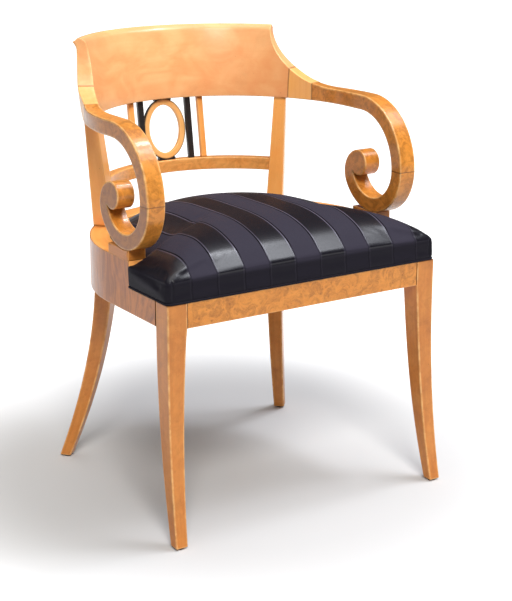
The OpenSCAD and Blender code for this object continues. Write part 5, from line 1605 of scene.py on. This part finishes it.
class BuildStudio(bpy.types.Operator):
    """Set up the floor, the lamps and the camera."""
    bl_idname = "armchair.studio"
    bl_label = "Studio"

    def execute(self, context):
        self.floor(context)
        self.world(context)
        for name, direction, strength, spread_degrees in (
                ("fill_sun", (-0.34, -0.72, 0.80), 2.45, 22),
                ("overhead_sun", (0.10, 0.05, 1.0), 0.75, 36)):
            self.sun(name, direction, strength, spread_degrees)
        for name, place, target_height, width, depth, power in (
                ("top_box", (2.10, -0.90, 4.20), 0.5, 2.6, 2.0, 80),
                ("high_box", (1.84, -1.04, 3.60), 0.6, 0.7, 1.0, 24),
                ("spark_box", (1.39, -0.20, 3.36), 0.6, 0.42, 0.42, 20)):
            self.softbox(name, place, target_height, width, depth, power)
        self.flags(context)
        self.camera(context)
        context.scene.view_settings.view_transform = "Standard"
        return {"FINISHED"}

    def circle(self, radius, z, count):
        """Points round the set at a height."""
        return [Vector((*polar(radius, a), z)) for a in spread(0.0, 2 * math.pi, count)[:-1]]

    def band(self, first, second, count):
        """Faces between two such circles, given by the numbers of their first points."""
        return [(first + i, second + i, second + (i + 1) % count, first + (i + 1) % count)
                for i in range(count)]

    def prop(self, context, name, points, faces):
        """A thing of the studio with a material of its own: the piece, and that material's net and shader."""
        mesh = bpy.data.meshes.new(name)
        mesh.from_pydata(points, [], faces)
        piece = bpy.data.objects.new(name, mesh)
        context.scene.collection.objects.link(piece)
        net, shader = new_material(name)
        mesh.materials.append(finish(name))
        return piece, net, shader

    def seen_straight(self, net):
        """1 for what the camera sees, also in reflections and through glass, and 0 for light."""
        rays = net.add("ShaderNodeLightPath").outputs
        through = net.calc("MAXIMUM", rays["Is Glossy Ray"], rays["Is Transmission Ray"])
        return net.calc("MAXIMUM", rays["Is Camera Ray"], through)

    def floor(self, context):
        """A wide pale floor of rings and spokes, which glows to white away from the chair."""
        spokes, radii = 96, [0.5, 1, 2, 4, 8, 16]
        points = [Vector((0, 0, 0))] + [p for r in radii for p in self.circle(r, 0, spokes)]
        faces = [(0, 1 + i, 1 + (i + 1) % spokes) for i in range(spokes)]
        for k in range(len(radii) - 1):
            faces += self.band(1 + k * spokes, 1 + (k + 1) * spokes, spokes)
        floor, net, shader = self.prop(context, "studio_floor", points, faces)
        place = net.object_place()
        fine = net.noise(place, 3.0, 3.0)
        pale = colour(context.scene.armchair_finishes.floor)
        far = net.add("ShaderNodeVectorMath", operation="LENGTH")
        net.feed(far.inputs[0], place)
        glow = net.step(far.outputs["Value"], 0.38, 0.88, 0.0, 0.7)
        net.fill(shader, {"Base Color": net.blend(net.times(fine, 0.04), pale, (0.6, 0.6, 0.6, 1)),
                          "Roughness": net.step(fine, 0.2, 0.8, 0.75, 0.85), "Specular IOR Level": 0.1,
                          "Emission Color": (1, 1, 1, 1),
                          "Emission Strength": net.times(self.seen_straight(net), glow)})

    def flags(self, context):
        """Dark screens round the set, out of the camera's sight, that shade its reflections."""
        radius, low, high, count = 4.6, 0.4, 6.0, 64
        points = self.circle(radius, low, count) + self.circle(radius, high, count)
        flags, net, shader = self.prop(context, "studio_flags", points, self.band(count, 0, count))
        fine = net.noise(net.object_place(), 3.0, 2.0)
        net.fill(shader, {"Base Color": net.blend(fine, (0.05, 0.045, 0.04, 1), (0.09, 0.085, 0.08, 1)),
                          "Roughness": net.step(fine, 0.2, 0.8, 0.8, 0.95)})
        flags.visible_camera = False
        flags.visible_diffuse = False
        flags.visible_shadow = False

    def world(self, context):
        """White to the camera and in reflections, plain and even as light."""
        world = bpy.data.worlds.new("studio")
        context.scene.world = world
        world.use_nodes = True
        net = Net(world.node_tree)
        ends = {n.type: n for n in world.node_tree.nodes}
        lit, seen = ends["BACKGROUND"], net.add("ShaderNodeBackground")
        net.fill(lit, {"Color": (0.96, 0.98, 1.0, 1), "Strength": 0.20})
        net.fill(seen, {"Color": (1, 1, 1, 1), "Strength": 1.0})
        mixed = net.add("ShaderNodeMixShader")
        net.fill(mixed, {0: self.seen_straight(net), 1: lit.outputs[0], 2: seen.outputs[0]})
        net.feed(ends["OUTPUT_WORLD"].inputs["Surface"], mixed.outputs[0])

    def hang(self, name, thing, place, back):
        """Puts a lamp or a camera in its place, with its back to a direction."""
        holder = bpy.data.objects.new(name, thing)
        holder.location = place
        holder.rotation_euler = Vector(back).to_track_quat("Z", "Y").to_euler()
        bpy.context.scene.collection.objects.link(holder)
        return holder

    def sun(self, name, direction, strength, spread_degrees):
        """A broad sun that shines from a direction."""
        lamp = bpy.data.lights.new(name, "SUN")
        lamp.energy = strength
        lamp.angle = math.radians(spread_degrees)
        lamp.color = (1.0, 0.985, 0.96)
        self.hang(name, lamp, (0, 0, 0), direction)

    def softbox(self, name, place, target_height, width, depth, power):
        """An oblong softbox that faces the chair at a height."""
        lamp = bpy.data.lights.new(name, "AREA")
        lamp.shape = "RECTANGLE"
        lamp.color = (0.90, 0.93, 1.0)
        lamp.size, lamp.size_y = width, depth
        lamp.energy = power
        self.hang(name, lamp, place, Vector(place) - Vector((0, 0, target_height)))

    def camera(self, context):
        """The camera at the photograph's viewing angle, distance and framing."""
        azimuth, elevation = math.radians(-32.313), math.radians(15.237)
        distance, focal = 2.8351, 1520.2  # in metres, and in points of the picture
        high, middle, axis = 601, (256, 300.5), (230.6, 262.0)  # picture's height, middle and optical axis
        back = Vector((math.sin(azimuth) * math.cos(elevation), -math.cos(azimuth) * math.cos(elevation),
                       math.sin(elevation)))
        lens = bpy.data.cameras.new("camera")
        lens.sensor_width = 36
        lens.lens = focal * lens.sensor_width / high
        lens.shift_x = (middle[0] - axis[0]) / high
        lens.shift_y = (axis[1] - middle[1]) / high
        context.scene.camera = self.hang("camera", lens, at(0, 0.250, 0.400) + back * distance, back)


# ---------------------------------------------------------------- panel and order of work


BUILDERS = (MakeFinishes, BuildRails, BuildLegs, BuildPosts, BuildCrest, BuildArms, BuildScrolls, BuildBack,
            BuildSeat, BuildStudio)
SETTINGS = {"armchair_rails": RailSizes, "armchair_legs": LegSizes, "armchair_back": BackSizes,
            "armchair_arms": ArmSizes, "armchair_seat": SeatSizes, "armchair_finishes": Finishes}


class ArmchairPanel(bpy.types.Panel):
    """Lists the armchair's builders."""
    bl_idname = "VIEW3D_PT_armchair"
    bl_label = "Gondola armchair"
    bl_space_type = "VIEW_3D"
    bl_region_type = "UI"
    bl_category = "Armchair"

    def draw(self, context):
        for builder in BUILDERS:
            self.layout.operator(builder.bl_idname)


def register():
    for group in SETTINGS.values():
        bpy.utils.register_class(group)
    for name, group in SETTINGS.items():
        setattr(bpy.types.Scene, name, PointerProperty(type=group))
    for item in (*BUILDERS, ArmchairPanel):
        bpy.utils.register_class(item)


def unregister():
    for item in (ArmchairPanel, *reversed(BUILDERS)):
        bpy.utils.unregister_class(item)
    for name, group in SETTINGS.items():
        delattr(bpy.types.Scene, name)
        bpy.utils.unregister_class(group)


def main():
    register()
    for builder in BUILDERS:
        family, action = builder.bl_idname.split(".")
        getattr(getattr(bpy.ops, family), action)()
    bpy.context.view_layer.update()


if __name__ == "__main__":
    main()
